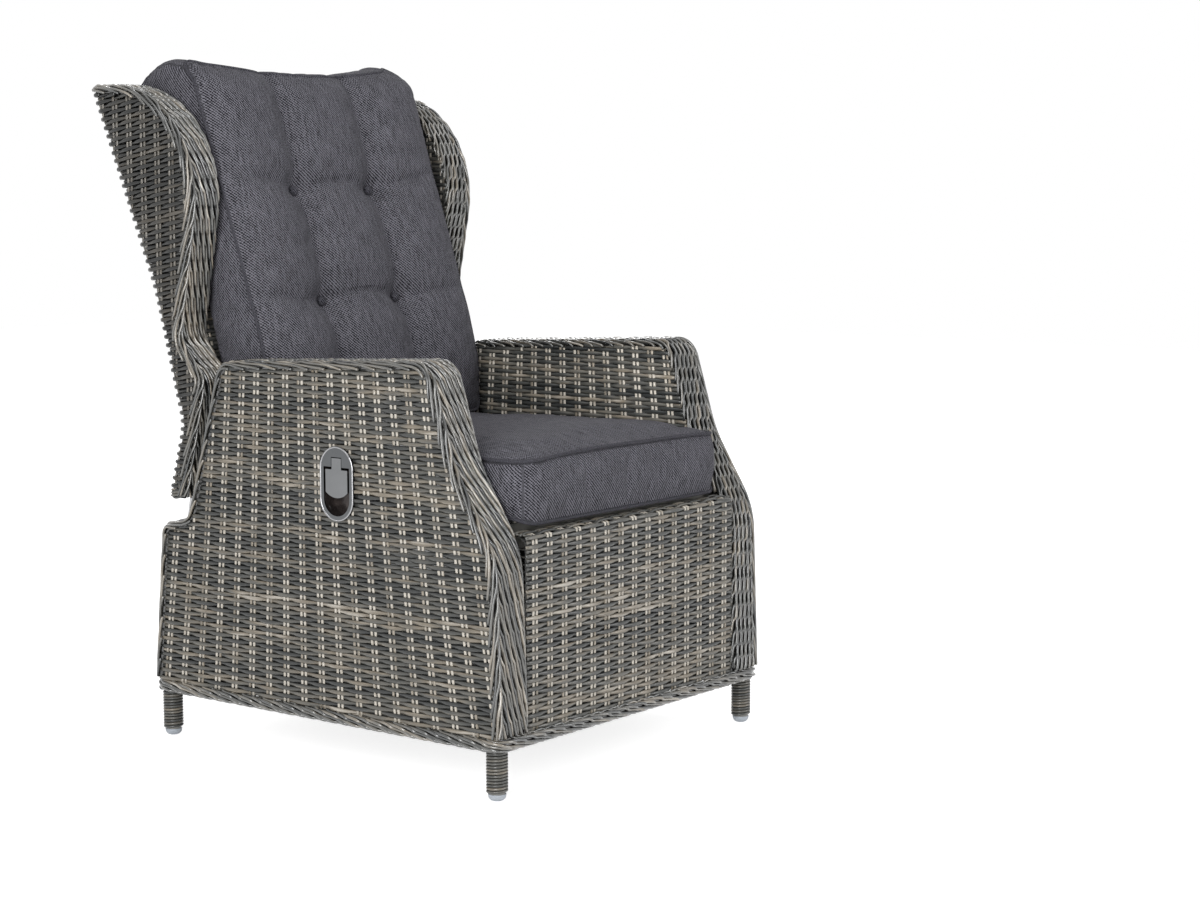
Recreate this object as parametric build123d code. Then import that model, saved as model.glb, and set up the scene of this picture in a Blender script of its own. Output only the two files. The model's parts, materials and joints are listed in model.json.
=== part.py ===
from build123d import *
import os
from math import atan2, cos, degrees, hypot, pi, radians, sin, sqrt

# Garden lounge chair of plaited wicker on an aluminium frame, with a reclining winged back.
# Millimetres.  The origin is on the floor under the middle of the chair, +Z is up and the
# seat faces -Y, so the sitter's right hand is on the -X side, where the release handle is.
# Side outlines are lists of corners (y, z, rounding radius).

# Overall sizes
overall_width = 700
overall_depth = 886
leg_height = 77

# Thicknesses and running sizes
skin = 6
tube_half = 10
tube_wall = 1.5
clear = 0.3
bearing_play = 0.05
overrun = 20
edge_round = 6
small_round = 2

# Woven outer panels of the arms: a rib over each pair of stakes, closer at the top
rib_height = 2.4
rib_half_width = 7
rib_low_pitch = 39.5
rib_high_pitch = 32
rib_low = 100
rib_high = 620
middle_rib_setback = 408

# Plaited borders: how far they stand past the skins, and how deep they cover the edge
border_proud = 4
inner_border_proud = 2
base_border_height = 20
base_border_depth = 14
base_corner_radius = 25
arm_border_depth = 12
wing_border_depth = 8

# Arm outline, seen from the side: heights above the floor, set back from the arm's front
knee_height = 372
knee_setback = 10
knee_radius = 150
waist_height = 500
waist_setback = 89
waist_radius = 200
arm_front_height = 655
arm_front_setback = 136
arm_front_radius = 40
arm_rear_height = 634
arm_rear_setback = 299
arm_rear_radius = 28
notch_height = 373
notch_setback = 221
notch_radius = 25
shelf_height = 360
shelf_rear_setback = 160
shelf_radius = 20
base_rear_setback = 137
arm_width = 77
arm_bend = 26

# Backrest outline, seen from the side
back_top_height = 1079
back_top_radius = 10
back_bend_share = 0.50445
back_bend_setback = 147
back_bend_radius = 400
back_neck_height = 528
back_neck_setback = 206
back_neck_radius = 70
back_foot_height = 405
back_foot_rear_setback = 172
back_foot_front_setback = 213
back_foot_rear_radius = 16
back_foot_front_radius = 14
shoulder_share = 0.29377
shoulder_setback = 260
shoulder_radius = 26
wing_root_share = 0.39021
wing_root_setback = 205
wing_root_radius = 40
wing_corner_drop = 2
wing_corner_setback = 281
wing_corner_radius = 183
wing_width = 66
wing_inset = 2
hoop_width = 44
hoop_root_gap = 12
back_edge_height = 8
top_edge_height = 12

# Recline: pivot above the backrest's foot, travel, and the lever that works the gas spring
pivot_rise = 21
recline_degrees = 36
bolt_radius = 5
bolt_head_radius = 8
bolt_head_height = 4
bush_wall = 1.5
hinge_plate_width = 6
hinge_eye_wall = 3.4
hinge_foot_half = 12
hinge_slot_rise = 7
hinge_slot_play = 1
hinge_slot_lead = 4
upright_foot_drop = 9
hinge_setback = 50
lower_rail_rise = 29
back_rail_shares = (0.25, 0.6)
arm_rung_shares = (0.15, 0.5, 0.85)
spring_x = -88
lever_length = 55
lever_rest_degrees = 100
lever_plate = 6
lever_boss_radius = 9
lever_web_half = 6.5
spring_pin_radius = 4
spring_eye_play = 2.2
spring_eye_wall = 4.5
spring_eye_width = 14
spring_front_setback = 553
spring_front_drop = 43
cylinder_radius = 11
cylinder_wall = 2
cylinder_length = 188
cylinder_neck = 17
cylinder_end = 8
rod_radius = 5
piston_length = 12
head_width = 16
head_height = 20
head_nose = 26
head_tail = 18
clevis_plate = 4
clevis_depth = 24
clevis_margin = 9

# Release lever on the head of the gas spring
release_plate = 3
release_pin_radius = 2
release_pin_forward = 19
release_pin_rise = 3
release_arm = 27
release_boss = 5
release_degrees = 12

# Seat platform
deck_top = 412
deck_front_setback = 51
deck_rear_setback = 247
deck_side_gap = 0.3
bar_width = 25
bar_height = 15
bar_wall = 1.5
front_bar_margin = 77
second_bar_margin = 193
rear_bar_setback = 259
base_rail_height = 145
apron_setback = 5
apron_height = 398
apron_return = 38
apron_radius = 12
apron_rail_setback = 5

# Legs
leg_side_setback = 24
leg_tube_radius = 12.5
leg_wall = 2
front_leg_setback = 22
rear_leg_setback = 18
glide_height = 11
glide_radius = 14
glide_flat_radius = 6
glide_plug = 14
winding_turns = 12
strand_height = 4.4
strand_depth = 4.1
strand_gap = 0.6
winding_play = 0.3

# Release handle in the right arm
handle_setback = 327
handle_z = 457
handle_width = 70
handle_height = 117
handle_rim = 8
handle_plate = 2.7
cup_wall = 1.5
cup_depth = 20
flap_axis_z = 476
flap_axis_depth = 6
flap_thickness = 2.7
flap_shoulder_width = 46
flap_shoulder_rise = 3
flap_shoulder_gap = 4
flap_drop = 41
flap_bottom_radius = 34
stem_width = 20
stem_rise = 20
stem_gap = 2.5
flap_gap = 1
knuckle_radius = 4
knuckle_length = 30
flap_pin_radius = 1.6
flap_degrees = 25
flap_tail_drop = 20
flap_tail_reach = 7
flap_tail_width = 5

# Release cable: its sheath, and the route's corners, chosen by hand, from handle to head
cable_radius = 2.5
cable_wire_radius = 0.8
cable_drop = 34
ferrule_radius = 4
ferrule_length = 10

# Seat cushion
seat_side_setback = 79
seat_front_margin = 16
seat_rear_setback = 257
seat_thickness = 92
seat_crown = 12
seat_draw = 5

# Back cushion
back_cushion_side_setback = 81
back_cushion_bottom = 509
back_cushion_front_setback = 339
back_cushion_knee_height = 600
back_cushion_knee_radius = 120
back_cushion_bend_height = 690
back_cushion_bend_setback = 316
back_cushion_bend_radius = 400
back_cushion_top_setback = 182
back_cushion_top_rise = 17
back_cushion_top_depth = 112
back_cushion_ear_rise = 22
back_cushion_dip = 26
back_cushion_draw = 7
back_cushion_lean_drop = 39
cushion_corner_radius = 30
cushion_edge_radius = 16
channel_x = 92
channel_radius = 17
channel_depth = 8
button_radius = 9
button_depth = 5
button_sides = 12
button_taper = 35
button_shares = (0.46736, 0.74184)
tuft_radius = 34
tuft_depth = 17


def unit(dy, dz):
    """Returns a direction of length one."""
    length = hypot(dy, dz)
    return dy / length, dz / length


def offset_corners(path, offsets, closed, least=small_round):
    """Shifts each side of a path to its left by its own offset.

    Side i runs from corner i to corner i + 1.  Corners move to where the shifted sides
    meet, and their rounding grows or shrinks so that it stays concentric.
    """
    count = len(path)
    sides = count if closed else count - 1
    lines = []
    for i in range(sides):
        (y0, z0, _), (y1, z1, _) = path[i], path[(i + 1) % count]
        dy, dz = unit(y1 - y0, z1 - z0)
        lines.append((y0 - dz * offsets[i], z0 + dy * offsets[i], dy, dz))
    moved = []
    for i, (y, z, radius) in enumerate(path):
        if not closed and i in (0, count - 1):
            py, pz, dy, dz = lines[0 if i == 0 else -1]
            along = (y - py) * dy + (z - pz) * dz
            moved.append((py + dy * along, pz + dz * along, 0))
            continue
        py, pz, ay, az = lines[(i - 1) % sides]
        qy, qz, by, bz = lines[i % sides]
        turn = ay * bz - az * by
        along = ((qy - py) * bz - (qz - pz) * by) / turn
        nearest = min(offsets[(i - 1) % sides], offsets[i % sides], key=abs)
        inner = radius - nearest if turn > 0 else radius + nearest
        moved.append((py + ay * along, pz + az * along, max(inner, least) if radius else 0))
    return moved


def rounded_wire(corners, closed):
    """Joins corners (point, radius) by lines and tangent arcs, in the plane or in space."""
    points = [Vector(*c[:-1]) for c in corners]
    count = len(points)
    starts, ends, edges = [], [], []
    for i, corner in enumerate(points):
        radius = corners[i][-1]
        if radius == 0 or (not closed and i in (0, count - 1)):
            starts.append(corner)
            ends.append(corner)
            continue
        back = (points[i - 1] - corner).normalized()
        ahead = (points[(i + 1) % count] - corner).normalized()
        half = radians(back.get_angle(ahead)) / 2
        reach = radius * cos(half) / sin(half)
        middle = corner + (back + ahead).normalized() * (radius / sin(half) - radius)
        starts.append(corner + back * reach)
        ends.append(corner + ahead * reach)
        edges.append(ThreePointArc(starts[-1], middle, ends[-1]))
    last = count if closed else count - 1
    for i in range(last):
        edges.append(Line(ends[i], starts[(i + 1) % count]))
    return Wire(edges)


def outline_face(corners):
    """Fills a closed outline of (y, z, radius) corners, drawn in its own flat plane."""
    return Face(rounded_wire([(y, z, 0, r) for y, z, r in corners], True))


def side_plate(face, low_x, high_x):
    """Extrudes a flat (y, z) face across the chair, from low_x to high_x."""
    return Pos(low_x, 0, 0) * extrude(Plane.YZ * face, amount=high_x - low_x)


def strip(path, low, high):
    """Closes the band between two offsets of an open path into one outline."""
    sides = len(path) - 1
    near = offset_corners(path, [low] * sides, False)
    far = offset_corners(path, [high] * sides, False)
    return near + far[::-1]


def height_on(path, side, height):
    """Returns y where a side of a path passes a height."""
    (y0, z0, _), (y1, z1, _) = path[side], path[side + 1]
    return y0 + (y1 - y0) * (height - z0) / (z1 - z0)


def rod_between(start, end, radius):
    """Makes a round bar from one point in space to another."""
    start, end = Vector(*start), Vector(*end)
    run = end - start
    plane = Plane(origin=start, z_dir=run.normalized())
    return plane * Cylinder(radius, run.length, align=(Align.CENTER, Align.CENTER, Align.MIN))


def cross_bar(y, z, radius, low_x, high_x):
    """Makes a round bar that runs across the chair."""
    return rod_between((low_x, y, z), (high_x, y, z), radius)


def square_tube(wire, half):
    """Sweeps a square section along a tangent path that stays in one side plane."""
    start = wire.position_at(0)
    plane = Plane(origin=start, x_dir=(1, 0, 0), z_dir=wire.tangent_at(0))
    return sweep(plane * Rectangle(2 * half, 2 * half), path=wire)


def square_bar(y, z, half, low_x, high_x, lean=0):
    """Makes a square bar that runs across the chair, leaning by an angle in degrees."""
    bar = Box(high_x - low_x, 2 * half, 2 * half)
    return Pos((low_x + high_x) / 2, y, z) * Rot(lean, 0, 0) * bar


def round_tube(wire, radius):
    """Sweeps a round section along a tangent path."""
    start = wire.position_at(0)
    return sweep(Plane(origin=start, z_dir=wire.tangent_at(0)) * Circle(radius), path=wire)


def side_wire(path, closed, x):
    """Places a rounded (y, z) path as a wire at one x."""
    return rounded_wire([(x, y, z, r) for y, z, r in path], closed)


def both_sides(left):
    """Returns a piece and its mirror image as (left, right)."""
    return left, mirror(left, about=Plane.YZ)


def pair(left):
    """Joins a left-hand piece and its mirror image as one group of solids."""
    return Compound(children=[left, mirror(left, about=Plane.YZ)])


# Places that the sizes above settle
half_width = overall_width / 2
rear_y = overall_depth / 2
arm_rear_y = rear_y - arm_rear_setback
notch_y = rear_y - notch_setback
shelf_rear_y = rear_y - shelf_rear_setback
base_rear_y = rear_y - base_rear_setback
back_bend_y = rear_y - back_bend_setback
back_neck_y = rear_y - back_neck_setback
back_foot_rear_y = rear_y - back_foot_rear_setback
back_foot_front_y = rear_y - back_foot_front_setback
shoulder_y = rear_y - shoulder_setback
wing_root_y = rear_y - wing_root_setback
wing_corner_y = rear_y - wing_corner_setback
deck_rear_y = rear_y - deck_rear_setback
seat_rear_y = rear_y - seat_rear_setback
back_cushion_front_y = rear_y - back_cushion_front_setback
back_cushion_bend_y = rear_y - back_cushion_bend_setback
back_cushion_top_y = rear_y - back_cushion_top_setback
spring_front_y = rear_y - spring_front_setback
seat_front_y = seat_front_margin - rear_y
handle_y = handle_setback - rear_y
back_height = back_top_height - back_foot_height
back_bend_height = back_foot_height + back_height * back_bend_share
wing_root_height = back_foot_height + back_height * wing_root_share
shoulder_height = back_foot_height + back_height * shoulder_share
wing_corner_height = back_top_height - wing_corner_drop
button_heights = [back_foot_height + back_height * share for share in button_shares]
back_cushion_top_height = back_top_height + back_cushion_top_rise
back_cushion_lean_height = back_top_height - back_cushion_lean_drop
pivot_height = back_foot_height + pivot_rise
hinge_x = half_width - hinge_setback
leg_x = half_width - leg_side_setback
seat_half_width = half_width - seat_side_setback
back_cushion_half_width = half_width - back_cushion_side_setback
bar_places = (front_bar_margin - rear_y, second_bar_margin - rear_y, spring_front_y, rear_y - rear_bar_setback)
arm_front_y = -overall_depth / 2 + border_proud
arm_foot_z = leg_height + base_border_height + clear
outer_skin_x = half_width - border_proud
inner_arm_x = half_width - arm_width + inner_border_proud
arm_outline = [
    (arm_front_y, arm_foot_z, 0),
    (base_rear_y, arm_foot_z, 0),
    (shelf_rear_y, shelf_height, shelf_radius),
    (notch_y, notch_height, notch_radius),
    (arm_rear_y, arm_rear_height, arm_rear_radius),
    (arm_front_y + arm_front_setback, arm_front_height, arm_front_radius),
    (arm_front_y + waist_setback, waist_height, waist_radius),
    (arm_front_y + knee_setback, knee_height, knee_radius),
]
wing_outline = [
    (back_foot_front_y, back_foot_height, back_foot_front_radius),
    (back_foot_rear_y, back_foot_height, back_foot_rear_radius),
    (back_neck_y, back_neck_height, back_neck_radius),
    (back_bend_y, back_bend_height, back_bend_radius),
    (rear_y - wing_inset, back_top_height, back_top_radius),
    (wing_corner_y, wing_corner_height, wing_corner_radius),
    (wing_root_y, wing_root_height, wing_root_radius),
    (shoulder_y, shoulder_height, shoulder_radius),
]
outer_wing_x = half_width - border_proud - wing_inset
wing_inner_x = outer_wing_x + border_proud - wing_width
wing_lining_x = wing_inner_x + border_proud - 1
rear_line = [(y, z, r if 0 < i < 3 else 0) for i, (y, z, r) in enumerate(wing_outline[1:5])]
back_thickness = 2 * skin + 2 * tube_half + 2 * clear + wing_inset
upright_depth = skin + clear + tube_half
upright_line = offset_corners(rear_line, [upright_depth] * 3, False)
pivot_y = height_on(upright_line, 0, pivot_height)
frame_inset = arm_border_depth + clear + tube_half
frame_offsets = [tube_half + clear] + [frame_inset] * (len(arm_outline) - 1)
frame_outline = offset_corners(arm_outline, frame_offsets, True)
deck_bottom = deck_top - skin
seat_bottom = deck_top + clear
bar_top = deck_bottom - clear
outer_loop_x = outer_skin_x - skin - clear - tube_half
inner_loop_x = inner_arm_x + skin + clear + tube_half
upright_x = (outer_wing_x + border_proud + wing_inner_x) / 2
front_leg_y = arm_front_y + front_leg_setback
rear_leg_y = base_rear_y - rear_leg_setback
leg_places = [(leg_x * sx, y) for sx in (-1, 1) for y in (front_leg_y, rear_leg_y)]


def framed(outline, depth, kept_sides):
    """Insets an outline by depth on every side except those named, which stay."""
    offsets = [0 if i in kept_sides else depth for i in range(len(outline))]
    return offset_corners(outline, offsets, True)


def upper_arm(bottom):
    """Cuts the arm outline off at a height, for the side that faces the sitter."""
    front = height_on(arm_outline, 6, bottom) if bottom > knee_height else None
    rear = height_on(arm_outline, 3, bottom)
    front = arm_front_y + knee_setback if front is None else front
    return [(front, bottom, 0), (rear, bottom, 0)] + arm_outline[4:7]


def hinge_plate_face():
    """Draws the hinge plate: a foot on the shelf rail and an eye at the pivot."""
    foot_y, foot_z = shelf_rail_centre()
    top = pivot_height
    eye = bolt_radius + bush_wall + hinge_eye_wall
    web = [
        (foot_y - hinge_foot_half, foot_z + tube_half, 0),
        (foot_y + hinge_foot_half, foot_z + tube_half, 0),
        (pivot_y + eye, top, 0),
        (pivot_y - eye, top, 0),
    ]
    return outline_face(web) + Pos(pivot_y, top) * Circle(eye)


def rear_offset(depth, height):
    """Returns y at a depth in front of the base's rear line, at a height."""
    line = offset_corners([arm_outline[1][:2] + (0,), arm_outline[2][:2] + (0,)], [depth], False)
    return height_on(line, 0, height)


def shelf_rail_centre():
    """Returns the centre of the rail under the shelf behind the seat."""
    z = shelf_height - arm_border_depth - tube_half - clear
    return rear_offset(frame_inset + small_round, z), z


def arm_border():
    """The plait that covers the edge of one arm, rounded on its outer edges."""
    low_x = half_width - arm_width
    blank = side_plate(outline_face(arm_outline), low_x, half_width)
    rims = [e for f in (blank.faces().sort_by(Axis.X)[0], blank.faces().sort_by(Axis.X)[-1])
            for e in f.edges() if e.center().Z > arm_foot_z + small_round
            and e.bounding_box().min.Z > arm_foot_z - small_round]
    blank = chamfer(rims, edge_round - small_round)
    hollow = outline_face(framed(arm_outline, arm_border_depth, (0,)))
    slot = Pos(hinge_x, shelf_rail_centre()[0] - hinge_slot_lead, shelf_height) * Box(
        hinge_plate_width + 2 * clear, 2 * (hinge_foot_half + hinge_slot_lead),
        2 * arm_border_depth + 2 * overrun)
    return blank - side_plate(hollow, low_x - overrun, half_width + overrun) - slot


def arm_outer_skin():
    """The woven panel on the outside of an arm, with upright ribs that fan out downwards."""
    face = outline_face(framed(arm_outline, arm_border_depth + clear, (0,)))
    ribs = [face & stake_rib(number) for number in stake_numbers()]
    panel = side_plate(face, outer_skin_x - skin, outer_skin_x - rib_height)
    for rib in ribs:
        panel += side_plate(rib, outer_skin_x - skin, outer_skin_x)
    return panel


def stake_numbers():
    """Counts the ribs that stand on the panel, to either side of the middle one."""
    middle = arm_front_y + middle_rib_setback
    before = int((middle - arm_front_y - arm_border_depth) / rib_low_pitch)
    after = int((base_rear_y - middle - arm_border_depth) / rib_low_pitch)
    return range(-before, after + 1)


def stake_rib(number):
    """Draws one rib between its places at the floor end and at the top."""
    middle = arm_front_y + middle_rib_setback
    low_y, high_y = middle + number * rib_low_pitch, middle + number * rib_high_pitch
    slope = (high_y - low_y) / (rib_high - rib_low)
    low_z, high_z = rib_low - overrun, arm_front_height + overrun
    low_y, high_y = low_y - slope * overrun, high_y + slope * (high_z - rib_high)
    return outline_face([(low_y - rib_half_width, low_z, 0), (low_y + rib_half_width, low_z, 0),
                         (high_y + rib_half_width, high_z, 0), (high_y - rib_half_width, high_z, 0)])


def arm_inner_skin():
    """The woven panel on the sitter's side of an arm, above the seat platform."""
    outline = framed(upper_arm(deck_bottom), arm_border_depth + clear, (0,))
    return side_plate(outline_face(outline), inner_arm_x, inner_arm_x + skin)


def side_frame():
    """The welded tube frame inside one arm: two loops joined by short rungs."""
    outline = [(y, z, r or arm_bend) for y, z, r in arm_outline]
    outer = offset_corners(outline, frame_offsets, True, arm_bend)
    upper = upper_arm(deck_bottom - 2 * tube_half)
    offsets = [frame_inset] * len(upper)
    offsets[0] = tube_half
    inner = offset_corners([(y, z, r or arm_bend) for y, z, r in upper], offsets, True, arm_bend)
    frame = square_tube(side_wire(outer, True, outer_loop_x), tube_half)
    frame += square_tube(side_wire(inner, True, inner_loop_x), tube_half)
    top = frame_outline
    rung_half = tube_half - tube_wall
    for share in arm_rung_shares:
        y = top[4][0] + (top[5][0] - top[4][0]) * share
        z = top[4][1] + (top[5][1] - top[4][1]) * share
        frame += square_bar(y, z, rung_half, inner_loop_x, outer_loop_x)
    seat_z = deck_bottom - tube_half
    rear_seat_y = height_on(top, 3, seat_z)
    front_seat_y = height_on(top, 6, seat_z)
    for y in (rear_seat_y - arm_bend, front_seat_y + arm_bend):
        frame += square_bar(y, seat_z, rung_half, inner_loop_x, outer_loop_x)
    for y in (rear_seat_y - arm_bend, front_seat_y + arm_bend):
        frame += Pos(outer_loop_x, y, (seat_z + top[0][1]) / 2) * Box(
            2 * rung_half, 2 * rung_half, seat_z - top[0][1] + 2 * rung_half)
    return frame


def base_border():
    """The plaited rope round the bottom of the base, notched for the leg tubes."""
    front, rear = -overall_depth / 2, base_rear_y + border_proud
    length, middle = rear - front, (rear + front) / 2
    ring = RectangleRounded(overall_width, length, base_corner_radius)
    hole = RectangleRounded(overall_width - 2 * base_border_depth, length - 2 * base_border_depth,
                            base_corner_radius - base_border_depth)
    blank = extrude(Pos(0, middle) * ring, amount=base_border_height)
    blank = chamfer(blank.faces().sort_by(Axis.Z)[0].edges() + blank.faces().sort_by(Axis.Z)[-1].edges(),
                    edge_round - small_round)
    blank -= extrude(Pos(0, middle) * hole, amount=base_border_height + overrun)
    blank = Pos(0, 0, leg_height) * blank
    for x, y in leg_places:
        blank -= Pos(x, y, leg_height) * Cylinder(leg_tube_radius + clear, leg_height)
    return blank


def leg_tubes():
    """Four leg tubes, each a short open pipe under a corner of the arm frames."""
    tubes = []
    for x, y in leg_places:
        low, high = glide_height + clear, arm_foot_z
        pipe = rod_between((x, y, low), (x, y, high), leg_tube_radius)
        pipe -= rod_between((x, y, low - overrun), (x, y, high + overrun), leg_tube_radius - leg_wall)
        tubes.append(pipe)
    return Compound(children=tubes)


def glides():
    """Four floor glides with bevelled feet, each with a plug that goes up its leg tube."""
    foot = Align.CENTER, Align.CENTER, Align.MIN
    half = glide_height / 2
    one = Cone(glide_flat_radius, glide_radius, half, align=foot)
    one += Pos(0, 0, half) * Cylinder(glide_radius, half, align=foot)
    plug = RegularPolygon(leg_tube_radius - leg_wall - clear, 6)
    one += Pos(0, 0, glide_height) * extrude(plug, amount=glide_plug)
    return Compound(children=[Pos(x, y, 0) * one for x, y in leg_places])


def biarc(start, start_dir, end, end_dir):
    """Joins two points by two arcs that are tangent to each other and to both directions."""
    span, both = end - start, start_dir + end_dir
    bend = 2 * (1 - start_dir.dot(end_dir))
    push = (sqrt(span.dot(both) ** 2 + bend * span.dot(span)) - span.dot(both)) / bend
    middle = (start + end + (start_dir - end_dir) * push) / 2
    first = Edge.make_tangent_arc(start, start_dir, middle)
    return [first, Edge.make_tangent_arc(middle, first.tangent_at(1), end)]


def helix_point(radius, pitch, base, turn):
    """Returns the point and direction of a winding after some turns."""
    angle = turn * 2 * pi
    point = Vector(radius * cos(angle), radius * sin(angle), base + pitch * turn)
    rise = pitch / (2 * pi)
    return point, Vector(-radius * sin(angle), radius * cos(angle), rise).normalized()


def leg_winding():
    """One leg's winding: a single flat-backed strand, with straight ends one strand long."""
    pitch = strand_height + strand_gap
    radius = leg_tube_radius + winding_play + strand_depth / 2
    base = leg_height - 3 * clear - strand_height / 2 - pitch * winding_turns
    steps = 2 * winding_turns
    ends = [helix_point(radius, pitch, base, i / 2) for i in range(steps + 1)]
    edges = [Edge.make_line(ends[0][0] - ends[0][1] * strand_height, ends[0][0])]
    for (start, start_dir), (end, end_dir) in zip(ends, ends[1:]):
        edges += biarc(start, start_dir, end, end_dir)
    edges.append(Edge.make_line(ends[-1][0], ends[-1][0] + ends[-1][1] * strand_height))
    path = Wire(edges)
    half_depth, half_height = strand_depth / 2, strand_height / 2
    section = Polyline((-half_depth, -half_height), (half_depth, 0), (-half_depth, half_height), close=True)
    start = path.position_at(0)
    plane = Plane(origin=start, x_dir=(1, 0, 0), z_dir=path.tangent_at(0))
    axis = Wire([Line((0, 0, base), (0, 0, base + pitch * winding_turns))])
    return sweep(plane * make_face(section), path=path, binormal=axis), edges


def leg_windings():
    """The windings of all four legs; prints the least gap between two turns."""
    one, edges = leg_winding()
    points = [edge.position_at(k / 8) for edge in edges for k in range(8)]
    per_turn = 8 * 4
    least = min((points[i] - points[j]).length for i in range(len(points))
                for j in range(i + per_turn // 2, len(points)))
    print("leg winding: least gap to itself", round(least - strand_height, 3), "mm")
    return Compound(children=[Pos(x, y, 0) * one for x, y in leg_places])


def base_rails():
    """Two low rails that carry the bottom of the front and rear aprons."""
    z = base_rail_height
    front_post = frame_outline[-1:] + frame_outline[:1]
    front = height_on(front_post, 0, z) + small_round
    rear = rear_offset(frame_inset + small_round, z)
    reach = outer_loop_x - tube_half - clear
    return Compound(children=[pipe_across(y, z, reach) for y in (front, rear)])


def pipe_across(y, z, reach):
    """A hollow tube across the chair, reach to either side."""
    bore = square_bar(y, z, tube_half - tube_wall, -reach - overrun, reach + overrun)
    return square_bar(y, z, tube_half, -reach, reach) - bore


def apron_rail():
    """The rail that the top of the front apron turns over."""
    z = apron_height - skin - clear - tube_half
    y = height_on(frame_outline, 6, z) + apron_rail_setback
    return pipe_across(y, z, outer_loop_x - tube_half - clear)


def shelf_rail():
    """The rail under the shelf behind the seat; the hinge plates stand on it."""
    y, z = shelf_rail_centre()
    return pipe_across(y, z, outer_loop_x - tube_half - clear)


def seat_bars():
    """Flat tubes across the chair that carry the seat platform."""
    reach = inner_loop_x - tube_half - clear
    bars = []
    for y in bar_places:
        solid = Box(2 * reach, bar_width, bar_height) - Box(
            2 * reach + overrun, bar_width - 2 * bar_wall, bar_height - 2 * bar_wall)
        bars.append(Pos(0, y, bar_top - bar_height / 2) * solid)
    return Compound(children=bars)


def seat_deck():
    """The woven platform under the seat cushion."""
    low, high = arm_front_y + deck_front_setback, deck_rear_y
    reach = inner_arm_x - deck_side_gap
    return Pos(0, (low + high) / 2, deck_bottom + skin / 2) * Box(2 * reach, high - low, skin)


def apron_reach():
    """Returns how far the aprons reach to either side."""
    return half_width - arm_width - clear


def front_apron():
    """The woven panel below the seat, turned back over its top rail."""
    y = arm_front_y + apron_setback
    path = [(y, arm_foot_z, 0), (y, apron_height, apron_radius), (y + apron_return, apron_height, 0)]
    path = path[::-1]
    return side_plate(outline_face(strip(path, 0, skin)), -apron_reach(), apron_reach())


def rear_apron():
    """The woven panel across the back of the base."""
    top = shelf_height - arm_border_depth - clear
    path = [(rear_offset(apron_setback, leg_height), leg_height, 0), (rear_offset(apron_setback, top), top, 0)]
    sheet = side_plate(outline_face(strip(path, 0, skin)), -apron_reach(), apron_reach())
    return above(sheet, arm_foot_z)


def shelf_border():
    """The plait along the top of the rear apron, between the arms."""
    low, high = shelf_height - arm_border_depth, shelf_height
    rear, front = rear_offset(0, high), rear_offset(apron_setback + skin, high)
    corners = [(front, low, small_round), (rear, low, small_round),
               (rear, high, edge_round - 1), (front, high, edge_round - 1)]
    return side_plate(outline_face(corners), -apron_reach(), apron_reach())


def hinge_plates():
    """Steel plates that stand on the shelf rail and carry the backrest."""
    low, high = hinge_x - hinge_plate_width / 2, hinge_x + hinge_plate_width / 2
    plate = side_plate(hinge_plate_face(), low, high)
    plate -= cross_bar(pivot_y, pivot_height, bolt_radius + bush_wall, low - overrun, high + overrun)
    return pair(plate)


def hinge_bushes():
    """Nylon bushes in the eyes of the hinge plates."""
    low, high = hinge_x - hinge_plate_width / 2, hinge_x + hinge_plate_width / 2
    bush = cross_bar(pivot_y, pivot_height, bolt_radius + bush_wall, low, high)
    bush -= cross_bar(pivot_y, pivot_height, bolt_radius + bearing_play, low - overrun, high + overrun)
    return pair(bush)


def pivot_bolts():
    """Shoulder bolts that turn in the bushes and pass through the uprights."""
    low = hinge_x - hinge_plate_width / 2 - clear
    far = upright_x + tube_half + clear + bolt_head_height
    bolt = cross_bar(pivot_y, pivot_height, bolt_radius, low, far)
    bolt += cross_bar(pivot_y, pivot_height, bolt_head_radius, low - bolt_head_height, low)
    return pair(bolt)


def pivot_nuts():
    """Hexagon nuts on the outer ends of the pivot bolts."""
    low = upright_x + tube_half + clear
    blank = extrude(RegularPolygon(bolt_head_radius, 6), amount=bolt_head_height)
    nut = Plane(origin=(low, pivot_y, pivot_height), z_dir=(1, 0, 0)) * blank
    nut -= cross_bar(pivot_y, pivot_height, bolt_radius, low - overrun, low + overrun)
    return pair(nut)


def hoop_path():
    """Returns the line of the hoop that shapes a wing, from its root to the upright's top."""
    depth = wing_border_depth + clear + tube_half
    offsets = [upright_depth] * 4 + [depth] * 4
    offsets[0] = back_edge_height + clear
    inset = offset_corners(wing_outline, offsets, True, arm_bend)
    (y0, z0, _), (y1, z1, _) = inset[6], inset[5]
    dy, dz = unit(y1 - y0, z1 - z0)
    root = (y0 + dy * hoop_root_gap, z0 + dz * hoop_root_gap, 0)
    return [root, inset[5], inset[4][:2] + (0,)]


def back_frame():
    """The welded backrest frame: two uprights, two wing hoops and the rails between them."""
    top_y, top_z, _ = hoop_path()[-1]
    foot = pivot_height - upright_foot_drop
    line = [(height_on(upright_line, 0, foot), foot, 0)] + upright_line[1:3] + [(top_y, top_z, 0)]
    line = [(y, z, abs(r)) for y, z, r in line]
    frame = square_tube(side_wire(line, False, upright_x), tube_half)
    hoop = side_wire(hoop_path(), False, upright_x)
    start = hoop.position_at(0)
    plane = Plane(origin=start, x_dir=(1, 0, 0), z_dir=hoop.tangent_at(0))
    frame += sweep(plane * Rectangle(hoop_width, 2 * tube_half), path=hoop)
    frame = frame + mirror(frame, about=Plane.YZ)
    for y, z, lean in back_rail_centres():
        frame += square_bar(y, z, tube_half, -upright_x, upright_x, lean)
    frame -= cross_bar(pivot_y, pivot_height, bolt_radius + clear, -half_width, half_width)
    return frame


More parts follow.
